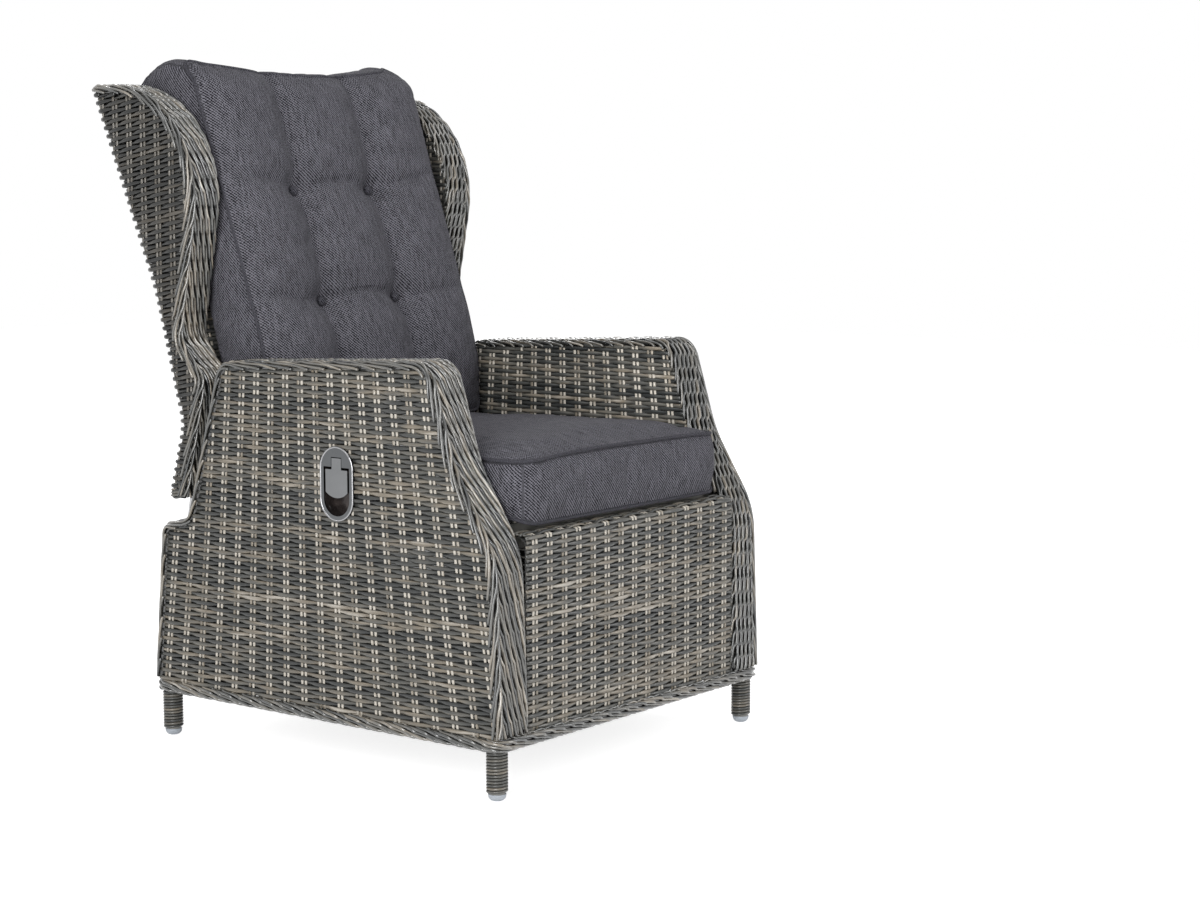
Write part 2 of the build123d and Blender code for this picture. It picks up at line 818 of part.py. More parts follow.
def back_rail_centres():
    """Returns the rails of the backrest: just above the pivot, two between, and the top."""
    low = pivot_height + lower_rail_rise
    top_y, top_z, _ = hoop_path()[-1]
    heights = [(0, low)]
    for share in back_rail_shares:
        z = low + (top_z - low) * share
        heights.append((1 if z < upright_line[2][1] else 2, z))
    places = [(height_on(upright_line, side, z), z, path_lean(upright_line, side)) for side, z in heights]
    top = back_top_height - top_edge_height - clear - tube_half * sqrt(2)
    return places + [(height_on(upright_line, 2, top), top, path_lean(upright_line, 2))]


def path_lean(path, side):
    """Returns how far a side of a path leans from upright, in degrees."""
    (y0, z0, _), (y1, z1, _) = path[side], path[side + 1]
    return degrees(atan2(z1 - z0, y1 - y0)) - 90


def clear_of_rails(shape):
    """Cuts holes where the rails of the backrest pass, and keeps the main piece."""
    for y, z, lean in back_rail_centres():
        shape -= square_bar(y, z, tube_half + clear, -half_width, half_width, lean)
    return shape.solids().sort_by(SortBy.VOLUME)[-1]


def above(shape, height):
    """Keeps what lies above a height."""
    size = 2 * overall_depth
    return shape - Pos(0, 0, height - size / 2) * Box(size, size * 2, size)


def below(shape, height):
    """Keeps what lies below a height."""
    size = 2 * overall_depth
    return shape - Pos(0, 0, height + size / 2) * Box(size, size * 2, size)


def wing_border():
    """The plait down the front of a wing and over its top, rounded on its outer edges."""
    low, high = wing_inner_x, outer_wing_x + border_proud
    blank = side_plate(outline_face(wing_outline), low, high)
    rims = [e for f in (blank.faces().sort_by(Axis.X)[0], blank.faces().sort_by(Axis.X)[-1])
            for e in f.edges()]
    blank = chamfer(rims, edge_round - small_round)
    hollow = outline_face(offset_corners(wing_outline, [0] * 4 + [wing_border_depth] * 4, True))
    (y0, z0, _), (y1, z1, _) = rear_line[-2:]
    dy, dz = unit(y1 - y0, z1 - z0)
    line = rear_line[:-1] + [(y1 + dy * overrun, z1 + dz * overrun, 0)]
    rear = side_plate(outline_face(strip(line, -overrun, skin + clear)), low - overrun, high + overrun)
    rear = below(rear, back_top_height - top_edge_height)
    band = blank - side_plate(hollow, low - overrun, high + overrun) - rear
    return above(band, back_foot_height + back_edge_height + clear)


def wing_panel(low, high):
    """A woven side of a wing, inside its border."""
    depth = [0] + [skin + clear] * 3 + [wing_border_depth + clear] * 4
    depth[0] = back_edge_height + clear
    corners = offset_corners(wing_outline, depth, True)
    corners[4] = corners[4][:2] + (back_top_radius,)
    return side_plate(outline_face(corners), low, high)


def back_panel(low, high, reach, top):
    """A woven sheet across the backrest, between two depths behind its rear line."""
    sheet = side_plate(outline_face(strip(rear_line, low, high)), -reach, reach)
    return below(above(sheet, back_foot_height + back_edge_height + clear), top)


def back_bottom_edge():
    """The close-wound rows that finish the bottom of the backrest, cut where plates pass."""
    reach = outer_wing_x
    edge = side_plate(outline_face(wing_outline), -reach, reach)
    edge = below(edge, back_foot_height + back_edge_height)
    slot = Box(hinge_plate_width + 2 * hinge_slot_play, 2 * overall_depth, overall_depth)
    for x in (-hinge_x, hinge_x, sum(lever_x()) / 2):
        edge -= Pos(x, 0, back_foot_height) * slot
    return edge


def slotted_for_hinges(sheet):
    """Cuts the slots that let the back lean past the hinge plates."""
    top = pivot_height + hinge_slot_rise
    for x in (-hinge_x, hinge_x):
        sheet -= Pos(x, 0, top - overall_depth) * Box(
            hinge_plate_width + 2 * hinge_slot_play, 2 * overall_depth, 2 * overall_depth)
    return sheet


def back_top_edge():
    """The plait along the top of the backrest, between the wings."""
    top = back_top_height
    reach = wing_inner_x - clear
    path = [(height_on(rear_line, 2, top - top_edge_height), top - top_edge_height, 0),
            (height_on(rear_line, 2, top), top, 0)]
    band = strip(path, 0, back_thickness)
    band = [(y, z, edge_round - 1) for y, z, _ in band]
    return side_plate(outline_face(band), -reach, reach)


def lever_pin_place():
    """Returns where the spring lever's pin stands at rest."""
    angle = radians(lever_rest_degrees)
    return pivot_y - lever_length * cos(angle), pivot_height - lever_length * sin(angle)


def lever_x():
    """Returns the low and high x of the spring lever's plate."""
    high = spring_x - spring_eye_width / 2 - clear
    return high - lever_plate, high


def spring_lever():
    """The plate welded under the lower rail, which pushes on the gas spring."""
    rail_y, rail_z, lean = back_rail_centres()[0]
    pin_y, pin_z = lever_pin_place()
    half = lever_web_half
    run_y, run_z = unit(pin_y - rail_y, pin_z - rail_z)
    web = outline_face([
        (rail_y - run_z * half, rail_z + run_y * half, 0),
        (rail_y + run_z * half, rail_z - run_y * half, 0),
        (pin_y + run_z * half, pin_z - run_y * half, 0),
        (pin_y - run_z * half, pin_z + run_y * half, 0)])
    web += Pos(pin_y, pin_z) * Circle(lever_boss_radius)
    low, high = lever_x()
    plate = side_plate(web, low, high)
    plate -= square_bar(rail_y, rail_z, tube_half, low - overrun, high + overrun, lean)
    return plate - cross_bar(pin_y, pin_z, spring_pin_radius + bearing_play, low - overrun, high + overrun)


def spring_lever_pin():
    """The pin that joins the lever to the rear eye of the gas spring."""
    pin_y, pin_z = lever_pin_place()
    low = lever_x()[0]
    high = spring_x + spring_eye_width / 2 + clear
    pin = cross_bar(pin_y, pin_z, spring_pin_radius, low, high + clevis_plate)
    head = spring_pin_radius + spring_eye_play + small_round
    return pin + cross_bar(pin_y, pin_z, head, high, high + clevis_plate)


def spring_ends():
    """Returns the front and rear ends of the gas spring, and its direction and length."""
    front = (spring_front_y, bar_top - bar_height - spring_front_drop)
    rear = lever_pin_place()
    dy, dz = unit(rear[0] - front[0], rear[1] - front[1])
    return front, rear, (dy, dz), hypot(rear[0] - front[0], rear[1] - front[1])


def on_spring(distance, rise=0):
    """Returns the point at a distance along the gas spring from its front end."""
    (y, z), _, (dy, dz), _ = spring_ends()
    return spring_x, y + dy * distance - dz * rise, z + dz * distance + dy * rise


def spring_plane(distance, rise=0):
    """Returns a plane on the gas spring: x along it, y up, z across the chair."""
    _, _, (dy, dz), _ = spring_ends()
    return Plane(origin=on_spring(distance, rise), x_dir=(0, dy, dz), z_dir=(1, 0, 0))


def eye_outer():
    """Returns the outer radius of the rear eye."""
    return spring_pin_radius + spring_eye_play + spring_eye_wall


def gas_cylinder():
    """The gas cylinder, with its rear eye and the guide that the rod slides in."""
    _, _, _, length = spring_ends()
    back = length - cylinder_neck
    front = back - cylinder_length
    body = rod_between(on_spring(front), on_spring(back), cylinder_radius)
    body -= rod_between(on_spring(front + cylinder_end), on_spring(back - cylinder_end),
                        cylinder_radius - cylinder_wall)
    body -= rod_between(on_spring(front - overrun), on_spring(front + cylinder_end + overrun),
                        rod_radius + bearing_play)
    eye = spring_plane(length) * Cylinder(eye_outer(), spring_eye_width)
    eye += spring_plane(length - cylinder_neck / 2) * Box(cylinder_neck, spring_eye_width, spring_eye_width)
    hole = spring_plane(length) * Cylinder(spring_pin_radius + spring_eye_play, spring_eye_width + overrun)
    return body + eye - hole


def cylinder_front():
    """Returns how far the cylinder's front face stands from the front end."""
    return spring_ends()[3] - cylinder_neck - cylinder_length


def gas_rod():
    """The piston rod, from the release head into the cylinder."""
    inner_front = cylinder_front() + cylinder_end
    rod = rod_between(on_spring(head_tail), on_spring(inner_front + small_round + piston_length), rod_radius)
    piston = rod_between(on_spring(inner_front + small_round),
                         on_spring(inner_front + small_round + piston_length),
                         cylinder_radius - cylinder_wall - 2 * bearing_play)
    return rod + piston


def release_head():
    """The head on the rod's front end: an eye for the clevis pin and a slot for the lever."""
    middle = (head_tail - head_nose) / 2
    block = spring_plane(middle) * Box(head_tail + head_nose, head_height, head_width)
    block = fillet(block.edges().filter_by(Axis.X), small_round)
    eye = spring_plane(0) * Cylinder(spring_pin_radius + bearing_play, head_width + overrun)
    slot_length = head_nose - spring_pin_radius - spring_eye_wall
    slot = spring_plane(-head_nose + slot_length / 2 - overrun / 2) * Box(
        slot_length + overrun, head_height + overrun, release_plate + 2 * clear)
    pin_hole = spring_plane(-release_pin_forward, release_pin_rise) * Cylinder(
        release_pin_radius, head_width + overrun)
    return block - eye - slot - pin_hole


def release_pin():
    """The pin across the head's slot that the release lever turns on."""
    return spring_plane(-release_pin_forward, release_pin_rise) * Cylinder(release_pin_radius, head_width)


def release_lever():
    """The thin lever that presses the valve pin when the cable pulls its top."""
    boss = Circle(release_boss)
    arm_half = release_boss - 1
    arm = Pos(0, release_arm / 2) * Rectangle(2 * arm_half, release_arm)
    tip = Pos(0, release_arm) * Circle(arm_half)
    profile = boss + arm + tip
    plate = extrude(profile, amount=release_plate / 2, both=True)
    plate -= Cylinder(release_pin_radius + bearing_play, release_plate + overrun)
    plate -= Pos(0, release_arm) * Cylinder(cable_wire_radius + clear, release_plate + overrun)
    return spring_plane(-release_pin_forward, release_pin_rise) * plate


def spring_clevis():
    """The bracket under the seat bar that holds the front end of the gas spring."""
    (y, z), _, _, _ = spring_ends()
    inner = head_width + 2 * clear
    top = bar_top - bar_height - clear
    low = z - clevis_margin
    block = Pos(spring_x, y, (top + low) / 2) * Box(inner + 2 * clevis_plate, clevis_depth, top - low)
    gap = Pos(spring_x, y, (top + low) / 2 - clevis_plate) * Box(inner, clevis_depth + overrun, top - low)
    block -= gap
    reach = inner / 2 + clevis_plate + overrun
    return block - cross_bar(y, z, spring_pin_radius + bearing_play, spring_x - reach, spring_x + reach)


def clevis_pin():
    """The pin that the release head turns on."""
    (y, z), _, _, _ = spring_ends()
    reach = head_width / 2 + clear + clevis_plate
    return cross_bar(y, z, spring_pin_radius, spring_x - reach, spring_x + reach)


def handle_face(inset):
    """The long round outline of the handle, drawn smaller by inset."""
    return SlotOverall(handle_height - 2 * inset, handle_width - 2 * inset, rotation=90)


def handle_plane(depth):
    """Returns a plane facing out of the right arm: x towards the rear, y up."""
    return Plane(origin=(-outer_skin_x + depth, handle_y, handle_z), x_dir=(0, 1, 0), z_dir=(1, 0, 0))


def flap_shape(gap, shoulder_gap, top_gap):
    """Draws the T-shaped flap, grown by its gaps for the opening that it fills."""
    axis = flap_axis_z - handle_z
    shoulder = axis + flap_shoulder_rise + shoulder_gap
    bottom = axis - flap_drop
    half = flap_shoulder_width / 2 + gap
    stem = Pos(0, (shoulder + axis + stem_rise + top_gap) / 2) * Rectangle(
        stem_width + 2 * gap, axis + stem_rise + top_gap - shoulder + small_round)
    paddle = Pos(0, (shoulder + bottom) / 2) * Rectangle(2 * half, shoulder - bottom)
    paddle &= Pos(0, bottom + flap_bottom_radius) * Circle(flap_bottom_radius) + Pos(
        0, shoulder) * Rectangle(2 * half, 2 * (shoulder - bottom - flap_bottom_radius / 2))
    return stem + paddle


def handle_plate_part():
    """The chromed surround: an oval plate with the T-shaped opening and a finger opening."""
    axis = flap_axis_z - handle_z
    shoulder = axis + flap_shoulder_rise + flap_shoulder_gap
    opening = handle_face(handle_rim) - Pos(0, shoulder + handle_height / 2) * Rectangle(
        handle_width, handle_height)
    stem = Pos(0, axis + (stem_rise + stem_gap) / 2) * Rectangle(
        stem_width + 2 * flap_gap, stem_rise + stem_gap)
    plate = extrude(handle_face(0) - opening - stem, amount=handle_plate)
    return handle_plane(-clear - handle_plate) * plate


def handle_cup():
    """The oval cup behind the plate, with ears for the flap's pin and a hole for the cable."""
    outer = extrude(handle_face(handle_rim - cup_wall), amount=cup_depth)
    inner = extrude(handle_face(handle_rim), amount=cup_depth - cup_wall)
    cup = outer - inner
    axis = flap_axis_z - handle_z
    ear_reach = handle_width / 2 - handle_rim
    ear_near = knuckle_length / 2 + flap_gap
    deep = flap_axis_depth - handle_plate - clear
    ear_radius = flap_axis_depth - flap_thickness - clear
    ear_width = ear_reach - ear_near + cup_wall
    for sign in (-1, 1):
        middle = sign * (ear_reach + ear_near) / 2
        ear = Plane(origin=(middle, axis, deep), z_dir=(1, 0, 0)) * Cylinder(ear_radius, ear_width)
        ear += Pos(middle, axis, deep + knuckle_radius / 2) * Box(ear_width, 2 * ear_radius, knuckle_radius)
        cup += ear & extrude(handle_face(handle_rim - cup_wall), amount=cup_depth)
    bore = Plane(origin=(0, axis, deep), z_dir=(1, 0, 0)) * Cylinder(flap_pin_radius, handle_width)
    cup -= bore & Pos(0, axis, 0) * Box(2 * ear_reach, handle_height, 2 * cup_depth)
    hole = Pos(0, axis - flap_tail_drop, cup_depth) * Cylinder(cable_wire_radius + clear, 2 * cup_depth)
    return handle_plane(0) * (cup - hole)


def flap_axis_place():
    """Returns x and z of the line that the flap turns on."""
    return -outer_skin_x - clear - handle_plate + flap_axis_depth, flap_axis_z


def handle_flap():
    """The T-shaped pull flap, with a knuckle on its pin and a tail for the cable."""
    axis = flap_axis_z - handle_z
    plate = extrude(flap_shape(0, 0, 0), amount=flap_thickness)
    deep = flap_axis_depth
    knuckle = Plane(origin=(0, axis, deep), z_dir=(1, 0, 0)) * Cylinder(knuckle_radius, knuckle_length)
    web = Pos(0, axis, deep / 2) * Box(knuckle_length, 2 * knuckle_radius - 2, deep)
    tail_z = axis - flap_tail_drop
    tail = Pos(0, tail_z, (flap_tail_reach + flap_thickness) / 2) * Box(
        flap_tail_width, flap_tail_width, flap_tail_reach)
    bore = Plane(origin=(0, axis, deep), z_dir=(1, 0, 0)) * Cylinder(
        flap_pin_radius + bearing_play, knuckle_length + overrun)
    return handle_plane(-clear - handle_plate) * (plate + knuckle + web + tail - bore)


def flap_pin():
    """The pin across the cup that the flap turns on."""
    x, z = flap_axis_place()
    reach = handle_width / 2 - handle_rim - clear
    return rod_between((x, handle_y - reach, z), (x, handle_y + reach, z), flap_pin_radius)


def release_cable():
    """The sheathed cable from the cup, down inside the arm and across under the seat."""
    cup_back = -outer_skin_x + cup_depth
    start_z = flap_axis_z - flap_tail_drop
    _, lever_y, lever_z = on_spring(-release_pin_forward, release_pin_rise + release_arm)
    stop_y = lever_y - cable_stop_reach()
    route = cable_route(cup_back, start_z, stop_y, lever_z)
    points = [Vector(*p) for p in route]
    radii = []
    for a, b, c in zip(points, points[1:], points[2:]):
        turn = 180 - (a - b).get_angle(c - b)
        shorter = min((a - b).length, (c - b).length)
        radii.append(0.45 * shorter / (sin(radians(turn / 2)) / cos(radians(turn / 2))))
    print("cable radii", [round(r, 1) for r in radii])
    corners = [tuple(p) + (r,) for p, r in zip(points, [0] + radii + [0])]
    wire = rounded_wire(corners, False)
    start = Plane(origin=wire.position_at(0), z_dir=wire.tangent_at(0))
    section = start * RegularPolygon(cable_radius, 6)
    sheath = sweep(section, path=wire)
    print("cable volume over section times length", round(sheath.volume / (section.area * wire.length), 4))
    first = rod_between(route[0], points[0] + (points[1] - points[0]).normalized() * ferrule_length,
                        ferrule_radius)
    last = rod_between(points[-1] + (points[-2] - points[-1]).normalized() * ferrule_length,
                       route[-1], ferrule_radius)
    return sheath + first + last


def cable_stop_reach():
    """Returns how far in front of the release lever the sheath ends."""
    return release_arm


def cable_route(cup_back, start_z, stop_y, stop_z):
    """The cable's corners, chosen by hand: out of the cup, round inside the arm, to its stop."""
    down_x = -inner_loop_x - tube_half - 3 * cable_radius
    under_z = bar_top - bar_height - cable_drop
    return [
        (cup_back + clear, handle_y, start_z),
        (cup_back + 28, handle_y, start_z),
        (down_x + 4, handle_y - 62, start_z - 4),
        (down_x, handle_y - 72, under_z + 8),
        (down_x + 62, handle_y - 92, under_z - 4),
        (spring_x - 34, stop_y - 82, under_z + 6),
        (spring_x, stop_y - 62, stop_z),
        (spring_x, stop_y, stop_z),
    ]


def cable_stop():
    """The tab in front of the seat bar that holds the end of the cable's sheath."""
    _, lever_y, lever_z = on_spring(-release_pin_forward, release_pin_rise + release_arm)
    stop_y = lever_y - cable_stop_reach()
    bar_front = spring_front_y - bar_width / 2
    top = bar_top
    thick = clevis_plate
    low = lever_z - ferrule_radius - thick
    bridge_low = stop_y + clear
    arm_x = spring_x + release_plate / 2 + release_boss + thick / 2
    tab_width = 2 * (arm_x - spring_x) + thick
    tab = Pos(spring_x, stop_y + clear + thick / 2, (top + low) / 2) * Box(tab_width, thick, top - low)
    arm = Pos(arm_x, (bridge_low + bar_front - clear) / 2, (top + low) / 2) * Box(
        thick, bar_front - clear - bridge_low, top - low)
    hole = rod_between((spring_x, stop_y - overrun, lever_z), (spring_x, lever_y, lever_z),
                       cable_wire_radius + clear)
    return tab + arm - hole


def seat_cushion():
    """The box cushion of the seat: crowned on top, with drawn-in sides and sharp piped edges."""
    front, rear = seat_front_y, seat_rear_y
    half, draw, crown = seat_half_width, seat_draw, seat_crown
    low, high = seat_bottom, seat_bottom + seat_thickness
    middle_z, middle_y = (low + high) / 2, (front + rear) / 2
    side = [Line((rear, low), (front + draw, low)),
            ThreePointArc((front + draw, low), (front + draw / 4, middle_z), (front + draw, high)),
            ThreePointArc((front + draw, high), (middle_y, high + crown / 2), (rear, high)),
            Line((rear, high), (rear, low))]
    front_view = [Line((-half + draw, low), (half - draw, low)),
                  ThreePointArc((half - draw, low), (half, middle_z), (half - draw, high)),
                  ThreePointArc((half - draw, high), (0, high + crown), (-half + draw, high)),
                  ThreePointArc((-half + draw, high), (-half, middle_z), (-half + draw, low))]
    plan = [ThreePointArc((-half, front), (0, front - draw / 2), (half, front)),
            ThreePointArc((half, front), (half - draw, middle_y), (half, rear)),
            Line((half, rear), (-half, rear)),
            ThreePointArc((-half, rear), (-half + draw, middle_y), (-half, front))]
    body = extrude(Plane.YZ * Face(Wire(side)), amount=half + overrun, both=True)
    body &= Pos(0, rear + overrun, 0) * extrude(Plane.XZ * Face(Wire(front_view)),
                                                amount=rear - front + 2 * overrun)
    body &= Pos(0, 0, low - overrun) * extrude(Face(Wire(plan)), amount=high - low + 3 * overrun)
    return body


def back_cushion_front():
    """Returns the front line of the back cushion, from its top to its bottom."""
    return [
        (back_cushion_top_y, back_cushion_top_height, 0),
        (back_cushion_bend_y, back_cushion_bend_height, back_cushion_bend_radius),
        (back_cushion_front_y, back_cushion_knee_height, back_cushion_knee_radius),
        (back_cushion_front_y, back_cushion_bottom, 0),
    ]


def back_cushion():
    """The back cushion: box-edged, with raised ears, channels and button tufts."""
    half, low = back_cushion_half_width, back_cushion_bottom
    rest = offset_corners(rear_line, [back_thickness - wing_inset + clear] * 3, False)
    lean = back_cushion_lean_height
    front = back_cushion_front()
    top_rear = (back_cushion_top_y + back_cushion_top_depth, back_cushion_top_height, cushion_edge_radius)
    side = [
        (front[0][0], front[0][1], cushion_edge_radius),
        front[1], front[2],
        (front[3][0], front[3][1], cushion_corner_radius),
        (height_on(rest, 0, low), low, small_round),
        (rest[1][0], rest[1][1], rest[1][2]),
        (rest[2][0], rest[2][1], rest[2][2]),
        (height_on(rest, 2, lean), lean, cushion_corner_radius),
        top_rear,
    ]
    side = grown_top(side)
    body = extrude(Plane.YZ * outline_face(side), amount=half + overrun, both=True)
    top = back_cushion_top_height + back_cushion_ear_rise
    middle = (low + top) / 2
    draw, corner = back_cushion_draw, cushion_corner_radius
    view = [Line((-half + corner, low), (half - corner, low)),
            ThreePointArc((half - corner, low), (half - corner * (1 - sin(pi / 4)),
                                                low + corner * (1 - cos(pi / 4))), (half, low + corner)),
            ThreePointArc((half, low + corner), (half - draw, middle), (half, top)),
            ThreePointArc((half, top), (0, top - back_cushion_dip), (-half, top)),
            ThreePointArc((-half, top), (-half + draw, middle), (-half, low + corner)),
            ThreePointArc((-half, low + corner), (-half + corner * (1 - sin(pi / 4)),
                                                 low + corner * (1 - cos(pi / 4))), (-half + corner, low))]
    body &= Pos(0, overall_depth, 0) * extrude(Plane.XZ * Face(Wire(view)), amount=2 * overall_depth)
    line = offset_corners(front, [channel_depth - channel_radius] * 3, False)
    line[0] = (line[0][0] + (line[0][0] - line[1][0]) / 2, line[0][1] + (line[0][1] - line[1][1]) / 2, 0)
    line[-1] = (line[-1][0], line[-1][1] - overrun, 0)
    for x in (-channel_x, channel_x):
        wire = side_wire(line, False, x)
        start = Plane(origin=wire.position_at(0), x_dir=(1, 0, 0), z_dir=wire.tangent_at(0))
        body -= sweep(start * RegularPolygon(channel_radius, 6, rotation=30), path=wire)
    for y, z in crease_places():
        out_y, out_z = cushion_normal()
        rise = channel_radius - channel_depth
        plane = Plane(origin=(-half - overrun, y + out_y * rise, z + out_z * rise), z_dir=(1, 0, 0))
        body -= plane * extrude(RegularPolygon(channel_radius, 6), amount=2 * (half + overrun))
        lift = tuft_radius - tuft_depth
        for x in (-channel_x, channel_x):
            body -= Pos(x, y + out_y * lift, z + out_z * lift) * Sphere(tuft_radius)
    return body


def grown_top(side):
    """Raises the two top corners of the cushion's side outline by the height of the ears."""
    raised = list(side)
    for i in (0, len(side) - 1):
        y, z, r = raised[i]
        raised[i] = (y + back_cushion_ear_rise / 2 * (1 if i == 0 else 0), z + back_cushion_ear_rise, r)
    return raised


def cushion_normal():
    """Returns the direction that the upper front of the back cushion faces."""
    (y0, z0, _), (y1, z1, _) = back_cushion_front()[:2]
    dy, dz = unit(y0 - y1, z0 - z1)
    return -dz, dy


def crease_places():
    """Returns where the rows of buttons cross the front line of the back cushion."""
    return [(height_on(back_cushion_front()[::-1], 2, z), z) for z in button_heights]


def cushion_buttons():
    """Four domed, fabric-covered buttons at the bottoms of the tufts."""
    out_y, out_z = cushion_normal()
    dome = extrude(RegularPolygon(button_radius, button_sides), amount=button_depth, taper=button_taper)
    buttons = []
    for y, z in crease_places():
        for x in (-channel_x, channel_x):
            sink = tuft_depth - clear - button_radius**2 / (2 * tuft_radius)
            origin = (x, y - out_y * sink, z - out_z * sink)
            buttons.append(Plane(origin=origin, z_dir=(0, out_y, out_z)) * dome)
    return Compound(children=buttons)


def right_outer_skin(left_skin):
    """The right arm's outer panel, with the long round hole for the handle's cup."""
    hole = extrude(handle_face(handle_rim - cup_wall - clear), amount=2 * overrun, both=True)
    pad = extrude(handle_face(0), amount=skin)
    return mirror(left_skin, about=Plane.YZ) + handle_plane(0) * pad - handle_plane(0) * hole


left_border, right_border = both_sides(arm_border())
left_frame, right_frame = both_sides(side_frame())
left_outer = arm_outer_skin()
left_inner, right_inner = both_sides(arm_inner_skin())
left_wing_border, right_wing_border = both_sides(wing_border())
left_wing_outer, right_wing_outer = both_sides(wing_panel(outer_wing_x - skin, outer_wing_x))
left_wing_inner, right_wing_inner = both_sides(
    clear_of_rails(wing_panel(wing_lining_x, wing_lining_x + skin)))
edge_top = back_top_height - top_edge_height - clear

nodes = {
    "left_arm_frame": left_frame,
    "right_arm_frame": right_frame,
    "left_arm_border": left_border,
    "right_arm_border": right_border,
    "left_arm_outer_weave": left_outer,
    "right_arm_outer_weave": right_outer_skin(left_outer),
    "left_arm_inner_weave": left_inner,
    "right_arm_inner_weave": right_inner,
    "base_border": base_border(),
    "leg_tubes": leg_tubes(),
    "leg_windings": leg_windings(),
    "glides": glides(),
    "base_rails": base_rails(),
    "apron_rail": apron_rail(),
    "shelf_rail": shelf_rail(),
    "seat_bars": seat_bars(),
    "seat_deck": seat_deck(),
    "front_apron_weave": front_apron(),
    "rear_apron_weave": rear_apron(),
    "shelf_border": shelf_border(),
    "hinge_plates": hinge_plates(),
    "hinge_bushes": hinge_bushes(),
    "pivot_bolts": pivot_bolts(),
    "pivot_nuts": pivot_nuts(),
    "back_frame": back_frame(),
    "left_wing_border": left_wing_border,
    "right_wing_border": right_wing_border,
    "left_wing_outer_weave": left_wing_outer,
    "right_wing_outer_weave": right_wing_outer,
    "left_wing_inner_weave": left_wing_inner,
    "right_wing_inner_weave": right_wing_inner,
    "back_rear_weave": slotted_for_hinges(back_panel(0, skin, outer_wing_x, edge_top)),
    "back_front_weave": back_panel(back_thickness - wing_inset - skin, back_thickness - wing_inset,
                                   wing_inner_x - clear, edge_top),
    "back_bottom_edge": back_bottom_edge(),
    "back_top_edge": back_top_edge(),
    "spring_lever": spring_lever(),
    "spring_lever_pin": spring_lever_pin(),
    "gas_cylinder": gas_cylinder(),
    "gas_rod": gas_rod(),
    "release_head": release_head(),
    "release_pin": release_pin(),
    "release_lever": release_lever(),
    "spring_clevis": spring_clevis(),
    "clevis_pin": clevis_pin(),
    "handle_plate": handle_plate_part(),
    "handle_cup": handle_cup(),
    "handle_flap": handle_flap(),
    "flap_pin": flap_pin(),
    "release_cable": release_cable(),
    "cable_stop": cable_stop(),
    "seat_cushion": seat_cushion(),
    "back_cushion": back_cushion(),
    "cushion_buttons": cushion_buttons(),
}

os.makedirs("parts", exist_ok=True)
for name, shape in nodes.items():
    export_step(shape, f"parts/{name}.step")
print("pivot", round(pivot_y, 3), pivot_height, "spring", spring_ends())
print("flap axis", flap_axis_place(), "release pin", on_spring(-release_pin_forward, release_pin_rise))
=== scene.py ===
import json

import bpy
import numpy as np
from mathutils import Matrix, Vector


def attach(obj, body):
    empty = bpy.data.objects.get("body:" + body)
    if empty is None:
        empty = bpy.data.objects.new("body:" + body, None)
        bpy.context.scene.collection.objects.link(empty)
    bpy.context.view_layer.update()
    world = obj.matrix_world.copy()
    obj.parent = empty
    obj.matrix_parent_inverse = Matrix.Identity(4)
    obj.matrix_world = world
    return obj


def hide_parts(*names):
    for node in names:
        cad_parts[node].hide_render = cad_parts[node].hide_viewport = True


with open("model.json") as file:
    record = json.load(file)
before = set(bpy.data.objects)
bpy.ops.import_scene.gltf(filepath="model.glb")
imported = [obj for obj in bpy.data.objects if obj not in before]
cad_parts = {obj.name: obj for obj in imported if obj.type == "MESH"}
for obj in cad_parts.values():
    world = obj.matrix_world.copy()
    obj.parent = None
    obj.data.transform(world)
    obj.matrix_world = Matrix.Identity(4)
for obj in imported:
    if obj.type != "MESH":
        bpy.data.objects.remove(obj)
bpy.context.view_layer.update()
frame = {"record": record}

mm = 0.001

# ---------------------------------------------------------------- sizes, in mm, as in the part's source
# corners are (Y, Z, radius), from the foot of the rear edge up, over and down the front
arm_corners = [(306, 97.3, 0), (283, 360, 20), (222, 373, 25), (144, 634, 28), (-303, 655, 40),
               (-350, 500, 200), (-429, 372, 150), (-439, 97.3, 0)]
wing_corners = [(271, 405, 0), (237, 528, 70), (296, 745, 400), (441, 1079, 10), (162, 1077, 183),
                (238, 668, 40), (183, 603, 26), (230, 405, 0)]
back_line_corners = wing_corners[:3] + [(441, 1079, 0)]
arm_outer_x, arm_inner_x = 343, 278      # the middle of an arm's two woven skins
wing_outer_x, wing_inner_x = 341, 288
wing_edge_turn = 7.0                     # the wing's skin turns its rear edge with this radius
rear_depth, front_depth = 3.0, 29.6      # how far in front of the rear line the back's two panels lie
apron_half_width = 273
row_pitch = 6.8                          # from one woven row to the next
strand_width, strand_height = 7.2, 2.3
stake_gap = 4.0                          # a stake's two strands lie this far from its middle
stake_width, stake_height = 5.4, 1.5
top_pitch, foot_pitch = 32.0, 39.5       # between stakes, at the arms' top and near the floor
handle_y, handle_z = -116.0, 457.0       # the handle's middle
hole_half_wide, hole_half_high = 29, 52  # the opening under its plate
leg_x, leg_ys = 326, (-417, 288)
deck_z = 409
seat_half, seat_front, seat_rear = 261, -416, 180     # the seat cushion's piped outline
back_half = 262                                       # half the back cushion's width at its foot
channel_x, tuft_zs = 92, (720, 905)                   # its two channels, and its rows of tufts


# ---------------------------------------------------------------- lines

def unit(v):
    """Each vector divided by its own length."""
    return v / np.linalg.norm(v, axis=-1, keepdims=True)


